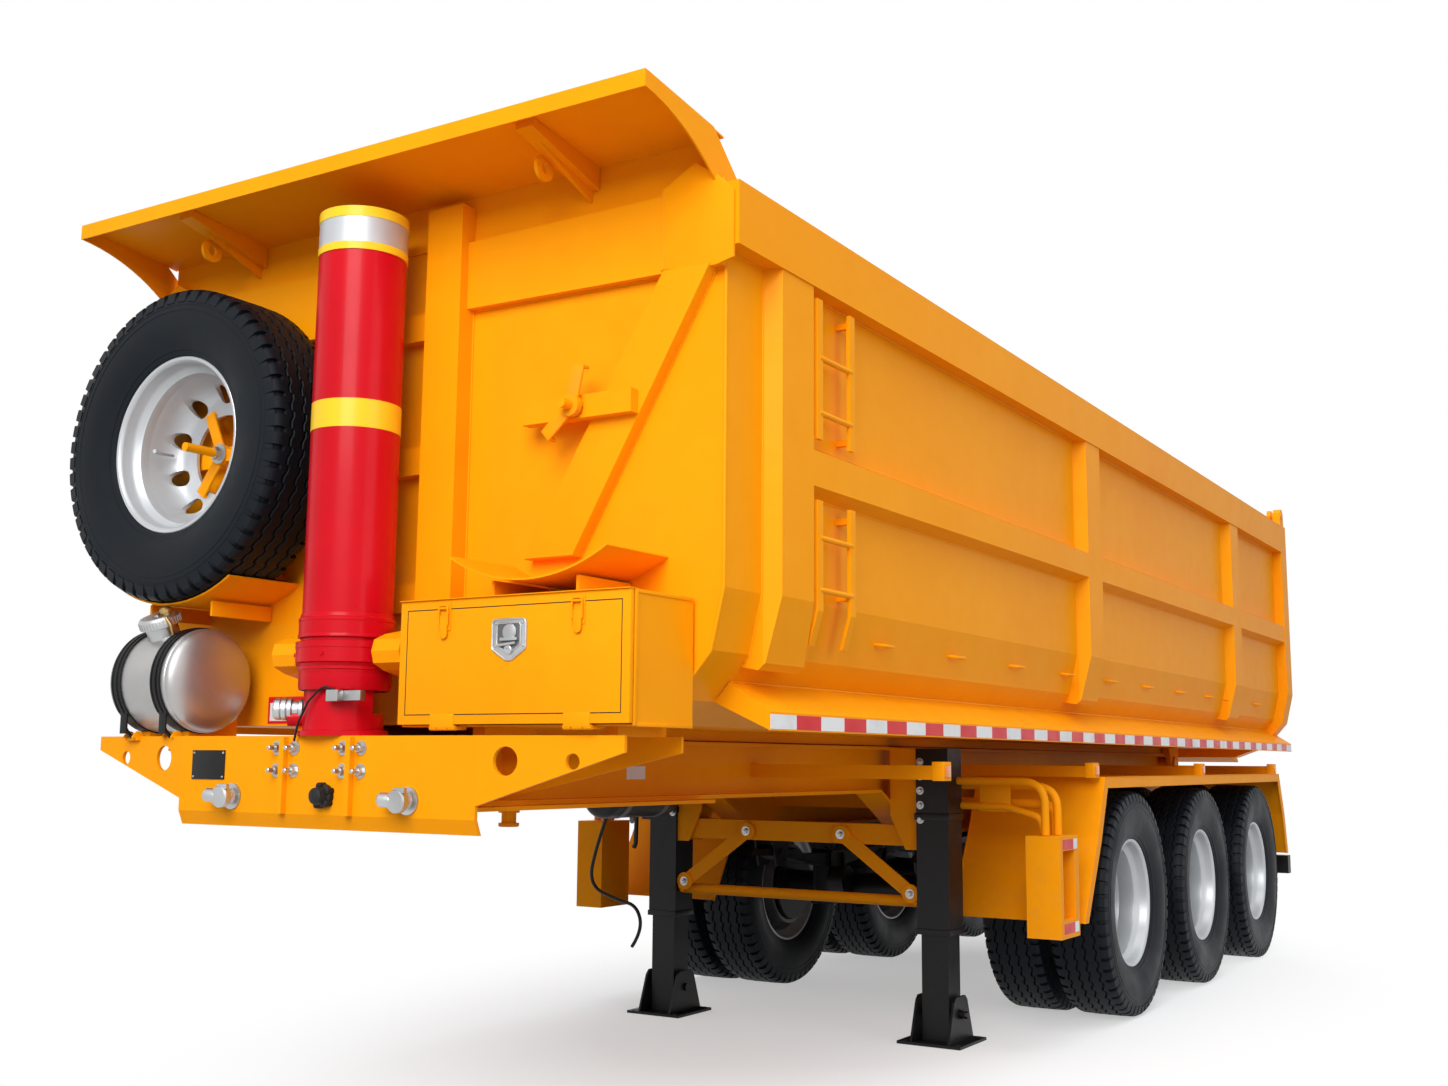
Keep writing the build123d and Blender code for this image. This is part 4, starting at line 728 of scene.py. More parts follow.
spareSpec = {
    # degrees round each clamp, length of its arms, and how far it stands out
    "spareClamp": {"arms": (116, 234, 350), "length": 0.165, "lift": -0.1},
    "emptyClamp": {"arms": (78, 222), "length": 0.125, "lift": 0.012},
    "emptyX": 3.735,
    "boltX": 3.779,
    "valve": [(3.8, -0.955, 2.225), (3.846, -0.962, 2.225), (3.872, -0.95, 2.225)],
}


def buildClamp(shape, angles, length, lift):
    # flat bars with turned ends round a boss, seen along local Z
    half = 0.021
    for angle in angles:
        turn = Matrix.Rotation(radians(angle), 4, "Z")
        slab(shape, (0.0, -half, lift), (length, half, lift + 0.01), 0.003, turn)
        slab(shape, (length - 0.01, -half, lift - 0.022), (length, half, lift + 0.006), 0.003, turn)
    lathe(shape, band(0.0, 0.034, lift - 0.004, lift + 0.016), 28)


tyreCentre = sum(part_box("spare_tyre"), Vector()) / 2
faceOn = Matrix.Rotation(pi / 2, 4, "Y") @ Matrix.Rotation(pi / 2, 4, "Z")
spareTurn = Matrix.Translation(tyreCentre) @ faceOn
emptyTurn = Matrix.Translation((spareSpec["emptyX"], -tyreCentre.y, tyreCentre.z)) @ faceOn
spareTyre = place("spareTyre", tyreMesh, "tyre", "dump_body", "tyre_rubber", spareTurn)
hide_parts("spare_tyre")
spareRim = ("silver", "dump_body", "wheel_silver", spareTurn)
spareBarrel = make("spareBarrel", lambda shape: buildBarrel(shape, 0.0), *spareRim)
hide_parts("spare_rim")
place("spareDisc", drilled("spareDisc", buildSpareDisc), *spareRim)
for name, turn in (("spareClamp", spareTurn), ("emptyClamp", emptyTurn)):
    spec = spareSpec[name]
    make(
        name, lambda shape: buildClamp(shape, spec["arms"], spec["length"], spec["lift"]),
        "yellow", "dump_body", "yellow_paint", turn,
    )


@part("zinc", "dump_body")
def spareBolts(shape):
    bolt(shape, (spareSpec["boltX"], tyreCentre.y, tyreCentre.z), (1, 0, 0), 0.02, stud=0.07)
    valve = bend(spareSpec["valve"], 0.02)
    tube(shape, valve, 0.0045)
    lathe(shape, band(0.0, 0.007, 0.0, 0.018), 14, aim(valve[-1], (1, 0.4, 0)))


print("spare wheel mounted")

noseSpec = {
    "x": 3.97,
    "boltRows": (1.214, 1.147),
    "boltReach": 0.036,
    "ribs": (-0.138, 0.138),
    "plateY": (-0.555, -0.405),
    "plateZ": (1.116, 1.206),
    "rivetInset": 0.008,
}


@part("zinc", "chassis")
def noseBolts(shape):
    for rib in noseSpec["ribs"]:
        for side in (-1, 1):
            for z in noseSpec["boltRows"]:
                at = (noseSpec["x"], rib + side * noseSpec["boltReach"], z)
                bolt(shape, at, (1, 0, 0), 0.0125, stud=0.04, spin=z * 9 + side)


@part("black", "chassis")
def blankPlate(shape):
    (y0, y1), (z0, z1) = noseSpec["plateY"], noseSpec["plateZ"]
    slab(shape, (3.9705, y0, z0), (3.9735, y1, z1), 0.001)


@part("zinc", "chassis")
def plateRivets(shape):
    (y0, y1), (z0, z1), inset = (noseSpec[name] for name in ("plateY", "plateZ", "rivetInset"))
    rivet = [(0.0, 0.0), (0.004, 0.0), (0.003, 0.002), (0.0, 0.003)]
    for y in (y0 + inset, y1 - inset):
        for z in (z0 + inset, z1 - inset):
            lathe(shape, rivet, 12, aim((3.9732, y, z), (1, 0, 0)))


couplingSpec = {
    "sides": (-0.365, 0.365),
    "z": 1.066,
    "body": [
        (0.0, 0.0), (0.04, 0.0), (0.04, 0.006), (0.024, 0.009), (0.02, 0.024), (0.03, 0.028),
        (0.034, 0.034), (0.034, 0.052), (0.03, 0.058), (0.0, 0.058),
    ],
    "head": [(0.0, 0.02), (0.019, 0.02), (0.021, 0.026), (0.021, 0.062), (0.017, 0.068), (0.0, 0.068)],
    "plug": [
        (0.0, 0.0), (0.034, 0.0), (0.034, 0.016), (0.028, 0.02), (0.024, 0.044), (0.014, 0.05), (0.0, 0.05),
    ],
    "lobe": [(0.0, 0.0), (0.01, 0.0), (0.01, 0.024), (0.007, 0.028), (0.0, 0.028)],
    "lobeRing": 0.03,
}


@part("zinc", "chassis", "cast_grey")
def airCouplings(shape):
    # two air couplings, each with a head turned aside and its swivel cap
    z = couplingSpec["z"]
    for y in couplingSpec["sides"]:
        lathe(shape, couplingSpec["body"], 28, aim((noseSpec["x"], y, z), (1, 0, 0)))
        lathe(shape, couplingSpec["head"], 20, aim((4.006, y, z), (0.15, -1.0, 0.05)))
        slab(shape, (4.012, y - 0.008, z + 0.022), (4.026, y + 0.034, z + 0.038), 0.003)


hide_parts("couplings")


@part("rubber", "chassis")
def plugCover(shape):
    # the cover of the electric plug, with lobes round its foot
    turn = aim((noseSpec["x"], 0.036, 1.074), (1, 0, 0))
    lathe(shape, couplingSpec["plug"], 28, turn)
    for a in spokes(5, 0.5):
        foot = turn @ Matrix.Translation(around(couplingSpec["lobeRing"], a))
        lathe(shape, couplingSpec["lobe"], 14, foot)


tankMiddle, strapMiddle = middleOf("hydraulic_tank"), middleOf("tank_straps")
tankSpec = {
    "x": strapMiddle.x,
    "z": strapMiddle.z,
    "middle": tankMiddle.y,
    "r": 0.168,
    "half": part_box("hydraulic_tank")[1].y - tankMiddle.y,
    "dome": 0.052,
    "bead": 0.0022,
    "straps": (strapMiddle.y - 0.096, strapMiddle.y + 0.096),
    "strapR": 0.172,
    "strapArc": (-38, 218),     # degrees, from the front over the top
    # place, half width and height of the strap's raised ribs
    "strapRibs": [(0.0, 0.006, 0.0035), (-0.019, 0.0035, 0.002), (0.019, 0.0035, 0.002)],
    "hook": [
        (-0.052, 0.0), (0.055, 0.0), (0.058, 0.008), (0.02, 0.012), (0.002, 0.03), (-0.02, 0.034),
        (-0.04, 0.02), (-0.052, 0.006),
    ],
    "fillerY": strapMiddle.y,
    "lean": radians(25),
    "neck": [(0.046, 0.15), (0.052, 0.16), (0.051, 0.196), (0.056, 0.198), (0.056, 0.204), (0.0, 0.204)],
    "cap": [
        (0.0, 0.2345), (0.058, 0.2345), (0.064, 0.23), (0.0665, 0.226), (0.0665, 0.2), (0.058, 0.197),
        (0.0, 0.197),
    ],
    "grips": 36,
    "suction": [
        (0.0, 0.0), (0.022, 0.0), (0.022, 0.012), (0.03, 0.014), (0.03, 0.044), (0.024, 0.048), (0.0, 0.048),
    ],
    "lever": [(0.062, -0.02, 0.232), (0.074, -0.02, 0.205), (0.07, -0.018, 0.172)],
    "breather": [
        (0.0, 0.233), (0.014, 0.233), (0.014, 0.243), (0.02, 0.246), (0.02, 0.258), (0.012, 0.264),
        (0.0, 0.264),
    ],
    "blueCap": [(0.0, 0.0), (0.017, 0.0), (0.019, 0.008), (0.012, 0.026), (0.0, 0.03)],
}


@part("yellow", "chassis", "yellow_paint")
def strapHooks(shape):
    # a curled hook on the wing's top holds each strap's end
    outline = [(x * 0.6, z * 0.7 - 0.006) for x, z in tankSpec["hook"]]
    upright = Matrix.Rotation(pi / 2, 4, "X") @ Matrix.Rotation(pi, 4, "Y")
    for y in tankSpec["straps"]:
        for shift in (-0.024, 0.018):
            turn = Matrix.Translation((3.944, y, 1.25)) @ upright @ Matrix.Translation((0, 0, shift))
            prism(shape, outline, 0.006, turn, 0.001)
        slab(shape, (3.926, y - 0.03, 1.236), (3.962, y + 0.03, 1.246), 0.002)


def strapSpine(shape, y, steps=96):
    # a raised rib along the middle of the strap and a lip at each edge
    x, z, r = (tankSpec[name] for name in ("x", "z", "strapR"))
    start, end = tankSpec["strapArc"]
    for shift, half, height in tankSpec["strapRibs"]:
        section = [(r - 0.001, -half), (r + height, -half * 0.8), (r + height, half * 0.8), (r - 0.001, half)]
        lines = []
        for n in range(steps + 1):
            a = radians(start + (end - start) * n / steps)
            points = [(x + far * cos(a), y + shift + across, z + far * sin(a)) for far, across in section]
            lines.append([shape.verts.new(point) for point in points])
        weave(shape, lines, False)


@part("rubber", "chassis", "black_rubber")
def strapRibs(shape):
    for y in tankSpec["straps"]:
        strapSpine(shape, y)
        slab(shape, (3.99, y - 0.016, 1.258), (3.996, y + 0.016, 1.352), 0.001)
        tube(shape, [(3.993, y, 1.285), (3.975, y, 1.262), (3.955, y, 1.244)], 0.006)


fillerAxis = Vector((sin(tankSpec["lean"]), 0, cos(tankSpec["lean"])))
fillerBase = Vector((tankSpec["x"], tankSpec["fillerY"], tankSpec["z"]))
fillerTurn = aim(fillerBase, fillerAxis)


@part("zinc", "chassis")
def tankFiller(shape):
    # neck, gripped cap and its bar, and the suction port on the tank's end
    lathe(shape, tankSpec["neck"], 40, fillerTurn)
    lathe(shape, tankSpec["cap"], 48, fillerTurn)
    for a in spokes(tankSpec["grips"]):
        turn = fillerTurn @ Matrix.Rotation(a, 4, "Z")
        slab(shape, (0.0655, -0.002, 0.202), (0.068, 0.002, 0.224), 0.0, turn)
    turn = fillerTurn @ Matrix.Rotation(2.2, 4, "Z")
    slab(shape, (-0.02, -0.006, 0.2345), (0.05, 0.006, 0.24), 0.002, turn)
    lathe(shape, tankSpec["suction"], 28, aim((3.845, -0.948, 1.335), (0.25, -1.0, -0.05)))


@part("brass", "chassis")
def fillerLever(shape):
    tube(shape, bend([fillerTurn @ Vector(point) for point in tankSpec["lever"]], 0.01), 0.005)


@part("brass", "chassis")
def tankBreather(shape):
    lathe(shape, tankSpec["breather"], 20, aim(fillerBase + Vector((-0.01, 0.035, 0.0)), fillerAxis))


@part("blue", "chassis")
def suctionCap(shape):
    lathe(shape, tankSpec["blueCap"], 20, aim((3.93, -0.862, 1.318), (1, 0.1, -0.2)))


@part("tank", "chassis", "tank_metal")
def tankShell(shape):
    # a rolled shell with a weld at each end and a pressed elliptical dome
    r, half, dome = tankSpec["r"], tankSpec["half"], tankSpec["dome"]
    edge, proud = half - dome, r + tankSpec["bead"]
    bead = [(r, edge - 0.02), (proud, edge - 0.017), (proud, edge - 0.009), (r, edge - 0.006)]
    side = [(r * cos(t), edge + dome * sin(t)) for t in [pi / 2 * n / 14 for n in range(14)]]
    end = bead + side + [(0.0, half)]
    turn = aim((tankSpec["x"], tankSpec["middle"], tankSpec["z"]), (0, 1, 0))
    lathe(shape, [(a, -h) for a, h in reversed(end)] + end, 96, turn)


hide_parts("hydraulic_tank")
print("nose and tank fitted")

hoistSpec = {
    "x": 3.875,
    "r": 0.136,
    "bands": [(2.848, 2.88, 0.0035), (2.742, 2.766, 0.0035), (2.182, 2.27, 0.0012)],  # low, high, proud
    "silver": (2.766, 2.848, 0.0018),
    "lid": [(0.0, 2.8795), (0.13, 2.8795), (0.1385, 2.879), (0.1385, 2.876), (0.0, 2.876)],
    "rings": [
        [
            (0.13, 1.618), (0.139, 1.616), (0.1405, 1.606), (0.1455, 1.602), (0.1455, 1.594), (0.1435, 1.591),
            (0.1435, 1.554), (0.146, 1.55), (0.146, 1.544), (0.14, 1.541), (0.13, 1.54),
        ],
        [(0.145, 1.533), (0.1515, 1.53), (0.1515, 1.512), (0.145, 1.51)],
        [(0.14, 1.466), (0.1495, 1.464), (0.1435, 1.456), (0.1435, 1.448), (0.139, 1.444)],
        [(0.1385, 1.446), (0.1385, 1.396), (0.135, 1.386), (0.1315, 1.386), (0.1315, 1.44)],
    ],
    "head": [(0.0, 0.0), (0.007, 0.0), (0.006, 0.004), (0.0, 0.004)],
    "headRing": 0.1505,
    "trunnionZ": 1.5,
    "cap": [(0.0, 0.0), (0.044, 0.0), (0.044, 0.01), (0.036, 0.014), (0.0, 0.014)],
    "capBolts": 0.03,
    "port": [
        (0.0, 0.0), (0.032, 0.0), (0.032, 0.01), (0.026, 0.014), (0.026, 0.03), (0.034, 0.034), (
            0.034, 0.044,
        ),
        (0.031, 0.047), (0.034, 0.05), (0.034, 0.062), (0.031, 0.065), (0.033, 0.068), (0.033, 0.082),
        (0.028, 0.088), (0.0, 0.088),
    ],
    "lead": [
        (3.999, 0.085, 1.384), (4.008, 0.045, 1.396), (4.012, -0.01, 1.35), (4.0, -0.06, 1.29),
        (3.985, -0.09, 1.235),
    ],
}
hoistAxis = Matrix.Translation((hoistSpec["x"], 0, 0))


def bandRing(shape, low, high, proud):
    r = hoistSpec["r"]
    lathe(shape, band(r - 0.001, r + proud, low, high), 72, hoistAxis, closed=True)


@part("band", "hoist_barrel", "yellow_paint")
def hoistBands(shape):
    for low, high, proud in hoistSpec["bands"]:
        bandRing(shape, low, high, proud)
    lathe(shape, hoistSpec["lid"], 72, hoistAxis)


@part("silver", "hoist_barrel", "cast_grey")
def hoistSilverBand(shape):
    bandRing(shape, *hoistSpec["silver"])


@part("red", "hoist_barrel", "red_paint")
def hoistRings(shape):
    # collars round the barrel's lower end, and six small heads between them
    for ring in hoistSpec["rings"]:
        lathe(shape, ring, 80, hoistAxis, closed=True)
    for a in spokes(6, 0.3):
        at = hoistAxis @ around(hoistSpec["headRing"], a, 1.492)
        lathe(shape, hoistSpec["head"], 6, aim(at, around(1.0, a)))


@part("yellow", "dump_body", "yellow_paint")
def trunnionCaps(shape):
    # a ring round each trunnion inside its lug, and a bolted cap outside
    x, z, r = hoistSpec["x"], hoistSpec["trunnionZ"], hoistSpec["capBolts"]
    for side in (-1, 1):
        boss = aim((x, side * 0.153, z), (0, side, 0))
        lathe(shape, band(0.0285, 0.04, 0.0, 0.004), 32, boss, closed=True)
        cap = aim((x, side * 0.2675, z), (0, side, 0))
        lathe(shape, hoistSpec["cap"], 32, cap)
        for a in spokes(4, 0.4):
            bolt(shape, cap @ around(r, a, 0.01), (0, side, 0), 0.005)


@part("zinc", "chassis", "cast_grey")
def oilPort(shape):
    lathe(shape, hoistSpec["port"], 32, aim((3.945, -0.098, 1.33), (46, -64, 0)))


@part("zinc", "chassis")
def hoistSensor(shape):
    slab(shape, (3.986, 0.062, 1.35), (4.012, 0.11, 1.384), 0.003)
    slab(shape, (3.968, 0.1, 1.352), (3.99, 0.18, 1.382), 0.003)


@part("rubber", "chassis", "black_rubber")
def sensorLead(shape):
    tube(shape, bend(hoistSpec["lead"], 0.05, 8), 0.0035, 8)


print("hoist dressed")

doorLow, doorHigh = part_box("toolbox_door")
boxSpec = {
    "x": 3.963,
    "y": (doorLow.y, doorHigh.y),
    "z": (1.281, doorHigh.z),
    "fittings": (doorLow.y + 0.17, doorHigh.y - 0.17),     # latches above, hinges below
    "lock": (middleOf("toolbox_door").y, 1.515),
    # inset and width of the black strip that paints the shade of the door's gap
    "seam": 0.026,
    "gap": 0.0028,
    "folds": [
        ((3.93, 0.303, 1.635), (3.97, 1.1215, 1.638)), ((3.93, 1.119, 1.275), (3.944, 1.1234, 1.6345)),
        ((3.66, 1.119, 1.273), (3.932, 1.1225, 1.284)), ((3.66, 1.119, 1.626), (3.932, 1.1225, 1.6355)),
    ],
}
facing = Matrix(((0, 0, 1, 0), (1, 0, 0, 0), (0, 1, 0, 0), (0, 0, 0, 1)))


def frontPlane(y, z, x=boxSpec["x"]):
    # local X and Y across the front, local Z forward
    return Matrix.Translation((x, y, z)) @ facing


def roundEnd(half, top, low, steps=8):
    # an upright outline with a half round lower end
    angles = [pi + pi * n / steps for n in range(steps + 1)]
    arc = [(half * cos(a), low + half + half * sin(a)) for a in angles]
    return [(half, top), (-half, top)] + arc


def buildDoor(shape):
    # the leaf with its hinges, and two latches with their bails and rivets
    x, (y0, y1), (z0, z1) = boxSpec["x"], boxSpec["y"], boxSpec["z"]
    slab(shape, (x - 0.016, y0, z0), (x, y1, z1), 0.0015)
    for y in boxSpec["fittings"]:
        knuckle = Matrix.Translation((x - 0.006, y, z0 - 0.01)) @ Matrix.Rotation(pi / 2, 4, "X")
        lathe(shape, band(0.0, 0.007, -0.018, 0.018), 20, knuckle)
        slab(shape, (x - 0.0015, y - 0.044, z0 - 0.009), (x + 0.0025, y + 0.044, z0 + 0.03), 0.001)
        slab(shape, (x - 0.001, y - 0.022, 1.546), (x + 0.003, y + 0.022, 1.625), 0.001)
        slab(shape, (x + 0.002, y - 0.016, 1.606), (x + 0.013, y + 0.016, 1.612), 0.0015)
        prism(shape, roundEnd(0.013, 0.065, 0.0), 0.005, frontPlane(y, 1.522, x + 0.004), 0.0015)
        slab(shape, (x + 0.002, y - 0.015, 1.556), (x + 0.008, y + 0.015, 1.566), 0.001)
        bail = [(x + 0.009, -1, 1.561), (x + 0.01, -1, 1.617), (x + 0.01, 1, 1.617), (x + 0.009, 1, 1.561)]
        tube(shape, bend([(u, y + side * 0.0165, z) for u, side, z in bail], 0.008, 4), 0.003, 8)
        for z in (1.552, 1.6):
            for side in (-1, 1):
                rivet = frontPlane(y + side * 0.0185, z, x + 0.003)
                lathe(shape, [(0.0035, 0.0), (0.0025, 0.0015), (0.0, 0.002)], 10, rivet)


@part("rubber", "toolbox_door")
def doorGapShade(shape):
    # a thin black strip round the door's leaf, painted shade that stands in for the dark gap
    x, (y0, y1), (z0, z1), inset = boxSpec["x"], boxSpec["y"], boxSpec["z"], boxSpec["seam"]
    y0, y1, z0, z1 = y0 + inset, y1 - inset, z0 + inset, z1 - inset
    w = boxSpec["gap"]
    level = [(y0, z0, y1, z0 + w), (y0, z1 - w, y1, z1)]
    upright = [(y0, z0 + w, y0 + w, z1 - w), (y1 - w, z0 + w, y1, z1 - w)]
    for left, low, right, high in level + upright:
        slab(shape, (x - 0.001, left, low), (x + 0.0004, right, high))


lockOutline = [
    (-0.054, 0.056), (0.054, 0.056), (0.061, 0.049), (0.061, -0.028),
    (0.01, -0.06), (-0.01, -0.06), (-0.061, -0.028), (-0.061, 0.049),
]


def lockBead(shape, turn, across, up, shift, out, corner, r):
    # a closed bead along the lock's outline, drawn in by two shares
    points = [turn @ Vector((across * u, up * v + shift, out)) for u, v in lockOutline]
    middle = (points[0] + points[1]) / 2
    tube(shape, bend([middle] + points[1:] + [points[0], middle], corner, 4), r, 8)


@part("zinc", "toolbox_door")
def boxLock(shape):
    # pressed bezel with a rolled lip, four rivets, a paddle and a key barrel
    turn = frontPlane(*boxSpec["lock"])
    prism(shape, lockOutline, 0.003, turn, 0.001)
    lockBead(shape, turn, 0.97, 0.97, 0.0, 0.003, 0.012, 0.003)
    lockBead(shape, turn, 0.68, 0.7, 0.004, 0.004, 0.008, 0.0024)
    rivet = [(0.005, 0.003), (0.0035, 0.0055), (0.0, 0.0065)]
    for u, v in ((-0.048, 0.044), (0.048, 0.044), (-0.05, -0.02), (0.05, -0.02)):
        lathe(shape, rivet, 14, turn @ Matrix.Translation((u, v, 0)))
    dome = [(0.024, 0.004), (0.024, 0.007), (0.021, 0.0105), (0.014, 0.0125), (0.0, 0.013)]
    lathe(shape, dome, 28, turn @ Matrix.Translation((0.004, 0.018, 0)))
    slab(shape, (-0.026, -0.006, 0.004), (0.034, 0.003, 0.0125), 0.002, turn)
    lever = [(-0.04, -0.018, 0.008), (-0.01, -0.016, 0.0105), (0.028, -0.012, 0.009)]
    tube(shape, [turn @ Vector(point) for point in lever], 0.0042, 10)
    barrel = [(0.0135, 0.003), (0.0135, 0.01), (0.011, 0.0125), (0.004, 0.0125), (0.004, 0.01), (0.0, 0.01)]
    lathe(shape, barrel, 24, turn @ Matrix.Translation((0.002, -0.031, 0)))


@part("cast", "toolbox_door")
def lockWell(shape):
    outline = [(0.66 * u, 0.68 * v + 0.004) for u, v in lockOutline]
    prism(shape, outline, 0.0036, frontPlane(*boxSpec["lock"]))


door = make("boxDoor", buildDoor, "yellow", "toolbox_door", "yellow_paint")
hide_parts("toolbox_door")


@part("yellow", "chassis", "yellow_paint")
def boxSeams(shape):
    # folded edges of the box and its drip lip
    for low, high in boxSpec["folds"]:
        slab(shape, low, high, 0.001)


print("toolbox fitted")

apronLow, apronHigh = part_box("side_aprons")
stripSpec = {
    "step": 0.155,
    "z": 1.2975,
    "high": 0.042,
    "front": apronHigh.x - 0.001,
    "rear": apronLow.x + 0.001,
    "y": (apronHigh.y, apronHigh.y + 0.0008),
}


def buildStrip(shape, keep):
    # squares of tape along both apron edges; keep picks the even or odd ones
    length = stripSpec["front"] - stripSpec["rear"]
    count = round(length / stripSpec["step"])
    step = length / count
    z0, z1 = stripSpec["z"] - stripSpec["high"] / 2, stripSpec["z"] + stripSpec["high"] / 2
    inner, outer = stripSpec["y"]
    for n in range(keep, count, 2):
        x1 = stripSpec["front"] - n * step
        slabPair(shape, (x1 - step, inner, z0), (x1, outer, z1))


make("stripWhite", lambda shape: buildStrip(shape, 0), "tapeWhite", "dump_body")
make("stripRed", lambda shape: buildStrip(shape, 1), "tapeRed", "dump_body")

tubLow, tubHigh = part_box("tub_shell")
trimSpec = {
    "hooks": [2.605 - 0.622 * n for n in range(10)],
    "hookZ": 1.572,
    "ribs": (3.32, 0.5, -2.25),
    "ribHalf": 0.1205,
    "side": [(tubHigh.y, tubHigh.z), (tubHigh.y, 1.665), (1.175, 1.49), (1.06, 1.355), (0.89, tubLow.z)],
    "ribSeam": (2.63, 2.4, 2.2, 2.0, 1.8, 1.665, 1.49, 1.47),
    "wallSeam": (2.62, 2.4, 2.2, 2.0, 1.8, 1.665, 1.575, 1.49, 1.42, 1.36),
    "beltSeams": (1.989, 2.151),
    "bays": [(3.19, 0.63), (0.37, -2.12), (-2.38, -3.61)],
    "seamY": tubHigh.y + 0.0005,
    "corner": [
        (1.02, 2.845), (1.13, 2.905), (1.205, 2.855), (1.262, 2.8), (1.262, 2.6), (1.2, 2.585),
        (1.02, 2.6),
    ],
    "channel": [(3.655, 2.905), (3.655, 2.981), (3.985, 3.015), (3.985, 2.99)],
    "channelY": 0.73,
    "diagonal": [(1.0235, 2.598), (1.1865, 2.595), (0.7165, 1.779), (0.5335, 1.779)],
    "diagonalSeams": [((1.025, 2.597), (0.535, 1.78)), ((1.185, 2.594), (0.715, 1.78))],
}


def sideAt(z):
    # half width of the tub's outer face at a height
    corners = trimSpec["side"]
    for (y1, z1), (y0, z0) in zip(corners, corners[1:]):
        if z0 <= z <= z1:
            return y0 + (y1 - y0) * (z - z0) / (z1 - z0)
    return corners[0][0]


@part("yellow", "dump_body", "yellow_paint")
def ropeHooks(shape):
    # bent round rope hooks along the lower side
    z = trimSpec["hookZ"]
    for x in trimSpec["hooks"]:
        if any(abs(x - rib) < 0.15 for rib in trimSpec["ribs"]):
            x += 0.2
        for side in (-1, 1):
            y = sideAt(z) * side
            out = y + side * 0.03
            route = [
                (x - 0.045, y, z), (x - 0.045, out, z - 0.004), (x + 0.045, out, z - 0.004),
                (x + 0.045, y, z),
            ]
            tube(shape, bend(route, 0.018, 4), 0.006, 8)


def seam(shape, start, end, steps, r=0.004):
    # a straight weld bead
    start, end = Vector(start), Vector(end)
    tube(shape, [start + (end - start) * n / steps for n in range(steps + 1)], r, 6)


def sideFacing(x, side):
    # local X and Y across the wall's front on one side, local Z forward
    return Matrix.Translation((x, 0, 0)) @ facing @ Matrix.Diagonal((side, 1, 1, 1))


@part("yellow", "dump_body", "yellow_paint")
def sideWelds(shape):
    # weld beads where ribs and belts meet the sheet
    for side in (-1, 1):
        for rib in trimSpec["ribs"]:
            for edge in (rib - trimSpec["ribHalf"], rib + trimSpec["ribHalf"]):
                tube(shape, [(edge, side * sideAt(z), z) for z in trimSpec["ribSeam"]], 0.0045, 6)
        y = side * trimSpec["seamY"]
        for z in trimSpec["beltSeams"]:
            for x0, x1 in trimSpec["bays"]:
                seam(shape, (x0, y, z), (x1, y, z), 12)
        seam(shape, (3.64, y, 2.639), (-3.61, y, 2.639), 30)
        y = side * (sideAt(1.413) + 0.002)
        seam(shape, (3.44, y, 1.413), (-3.76, y, 1.413), 30, 0.005)


@part("yellow", "dump_body", "yellow_paint")
def cornerPlates(shape):
    # gusset plates over the front corners of the wall
    for side in (-1, 1):
        prism(shape, trimSpec["corner"], 0.008, sideFacing(3.681, side), 0.002)
        tube(shape, [(3.682, side * 1.015, z) for z in (2.6, 2.72, 2.845)], 0.004, 6)


@part("yellow", "dump_body", "yellow_paint")
def canopyTrim(shape):
    # folded channels over the roof's ribs, and a tie-down eye on each
    upright = Matrix.Rotation(pi / 2, 4, "X")
    for side in (-1, 1):
        y = side * trimSpec["channelY"]
        prism(shape, trimSpec["channel"], 0.064, Matrix.Translation((0, y + 0.032, 0)) @ upright, 0.003)
        eye = Matrix.Translation((3.84, y - 0.038, 2.925)) @ upright
        lathe(shape, band(0.017, 0.04, -0.006, 0.006), 28, eye, closed=True)


@part("yellow", "dump_body", "yellow_paint")
def wallWelds(shape):
    # seams along the wall's stiffeners and round its edge
    for side in (-1, 1):
        post = side * 0.2675
        tube(shape, [(3.648, post, z / 10) for z in range(13, 30)], 0.004, 6)
        seam(shape, (3.648, side * 0.27, 2.599), (3.648, side * 1.215, 2.589), 8)
        tube(shape, [(3.647, side * (sideAt(z) - 0.003), z) for z in trimSpec["wallSeam"]], 0.0055, 8)
        for (y0, z0), (y1, z1) in trimSpec["diagonalSeams"]:
            seam(shape, (3.6475, side * y0, z0), (3.6475, side * y1, z1), 8)


@part("yellow", "dump_body", "yellow_paint")
def diagonalFolds(shape):
    # the diagonals' pressed faces, rounded along their edges
    for side in (-1, 1):
        prism(shape, trimSpec["diagonal"], 0.0425, sideFacing(3.6515, side), 0.009)


print("tub trimmed")


@part("yellow", "dump_body", "yellow_paint")
def cradleFeet(shape):
    # plates that carry each cradle on the wall
    for y in (0.595, 0.895):
        slabPair(shape, (3.65, y - 0.005, 1.64), (3.9, y + 0.005, 1.69), 0.002)


labelSpec = {
    "wall": ((3.6492, -0.575, 1.306), (3.6497, -0.385, 1.366)),
    "rim": ((3.6485, -0.585, 1.298), (3.6491, -0.375, 1.386)),
    "beam": [(2.949, 1.205), (2.943, 1.142)],
    "half": (0.055, 0.022),
}


@part("tapeWhite", "dump_body")
def wallLabel(shape):
    slab(shape, *labelSpec["wall"])


@part("tapeWhite", "chassis")
def beamLabels(shape):
    # blank labels on the left beam's web
    length, high = labelSpec["half"]
    for x, z in labelSpec["beam"]:
        slab(shape, (x - length, 0.4352, z - high), (x + length, 0.4358, z + high))


@part("tapeRed", "dump_body")
def labelEdge(shape):
    # the red rim that shows round the wall's label
    slab(shape, *labelSpec["rim"])


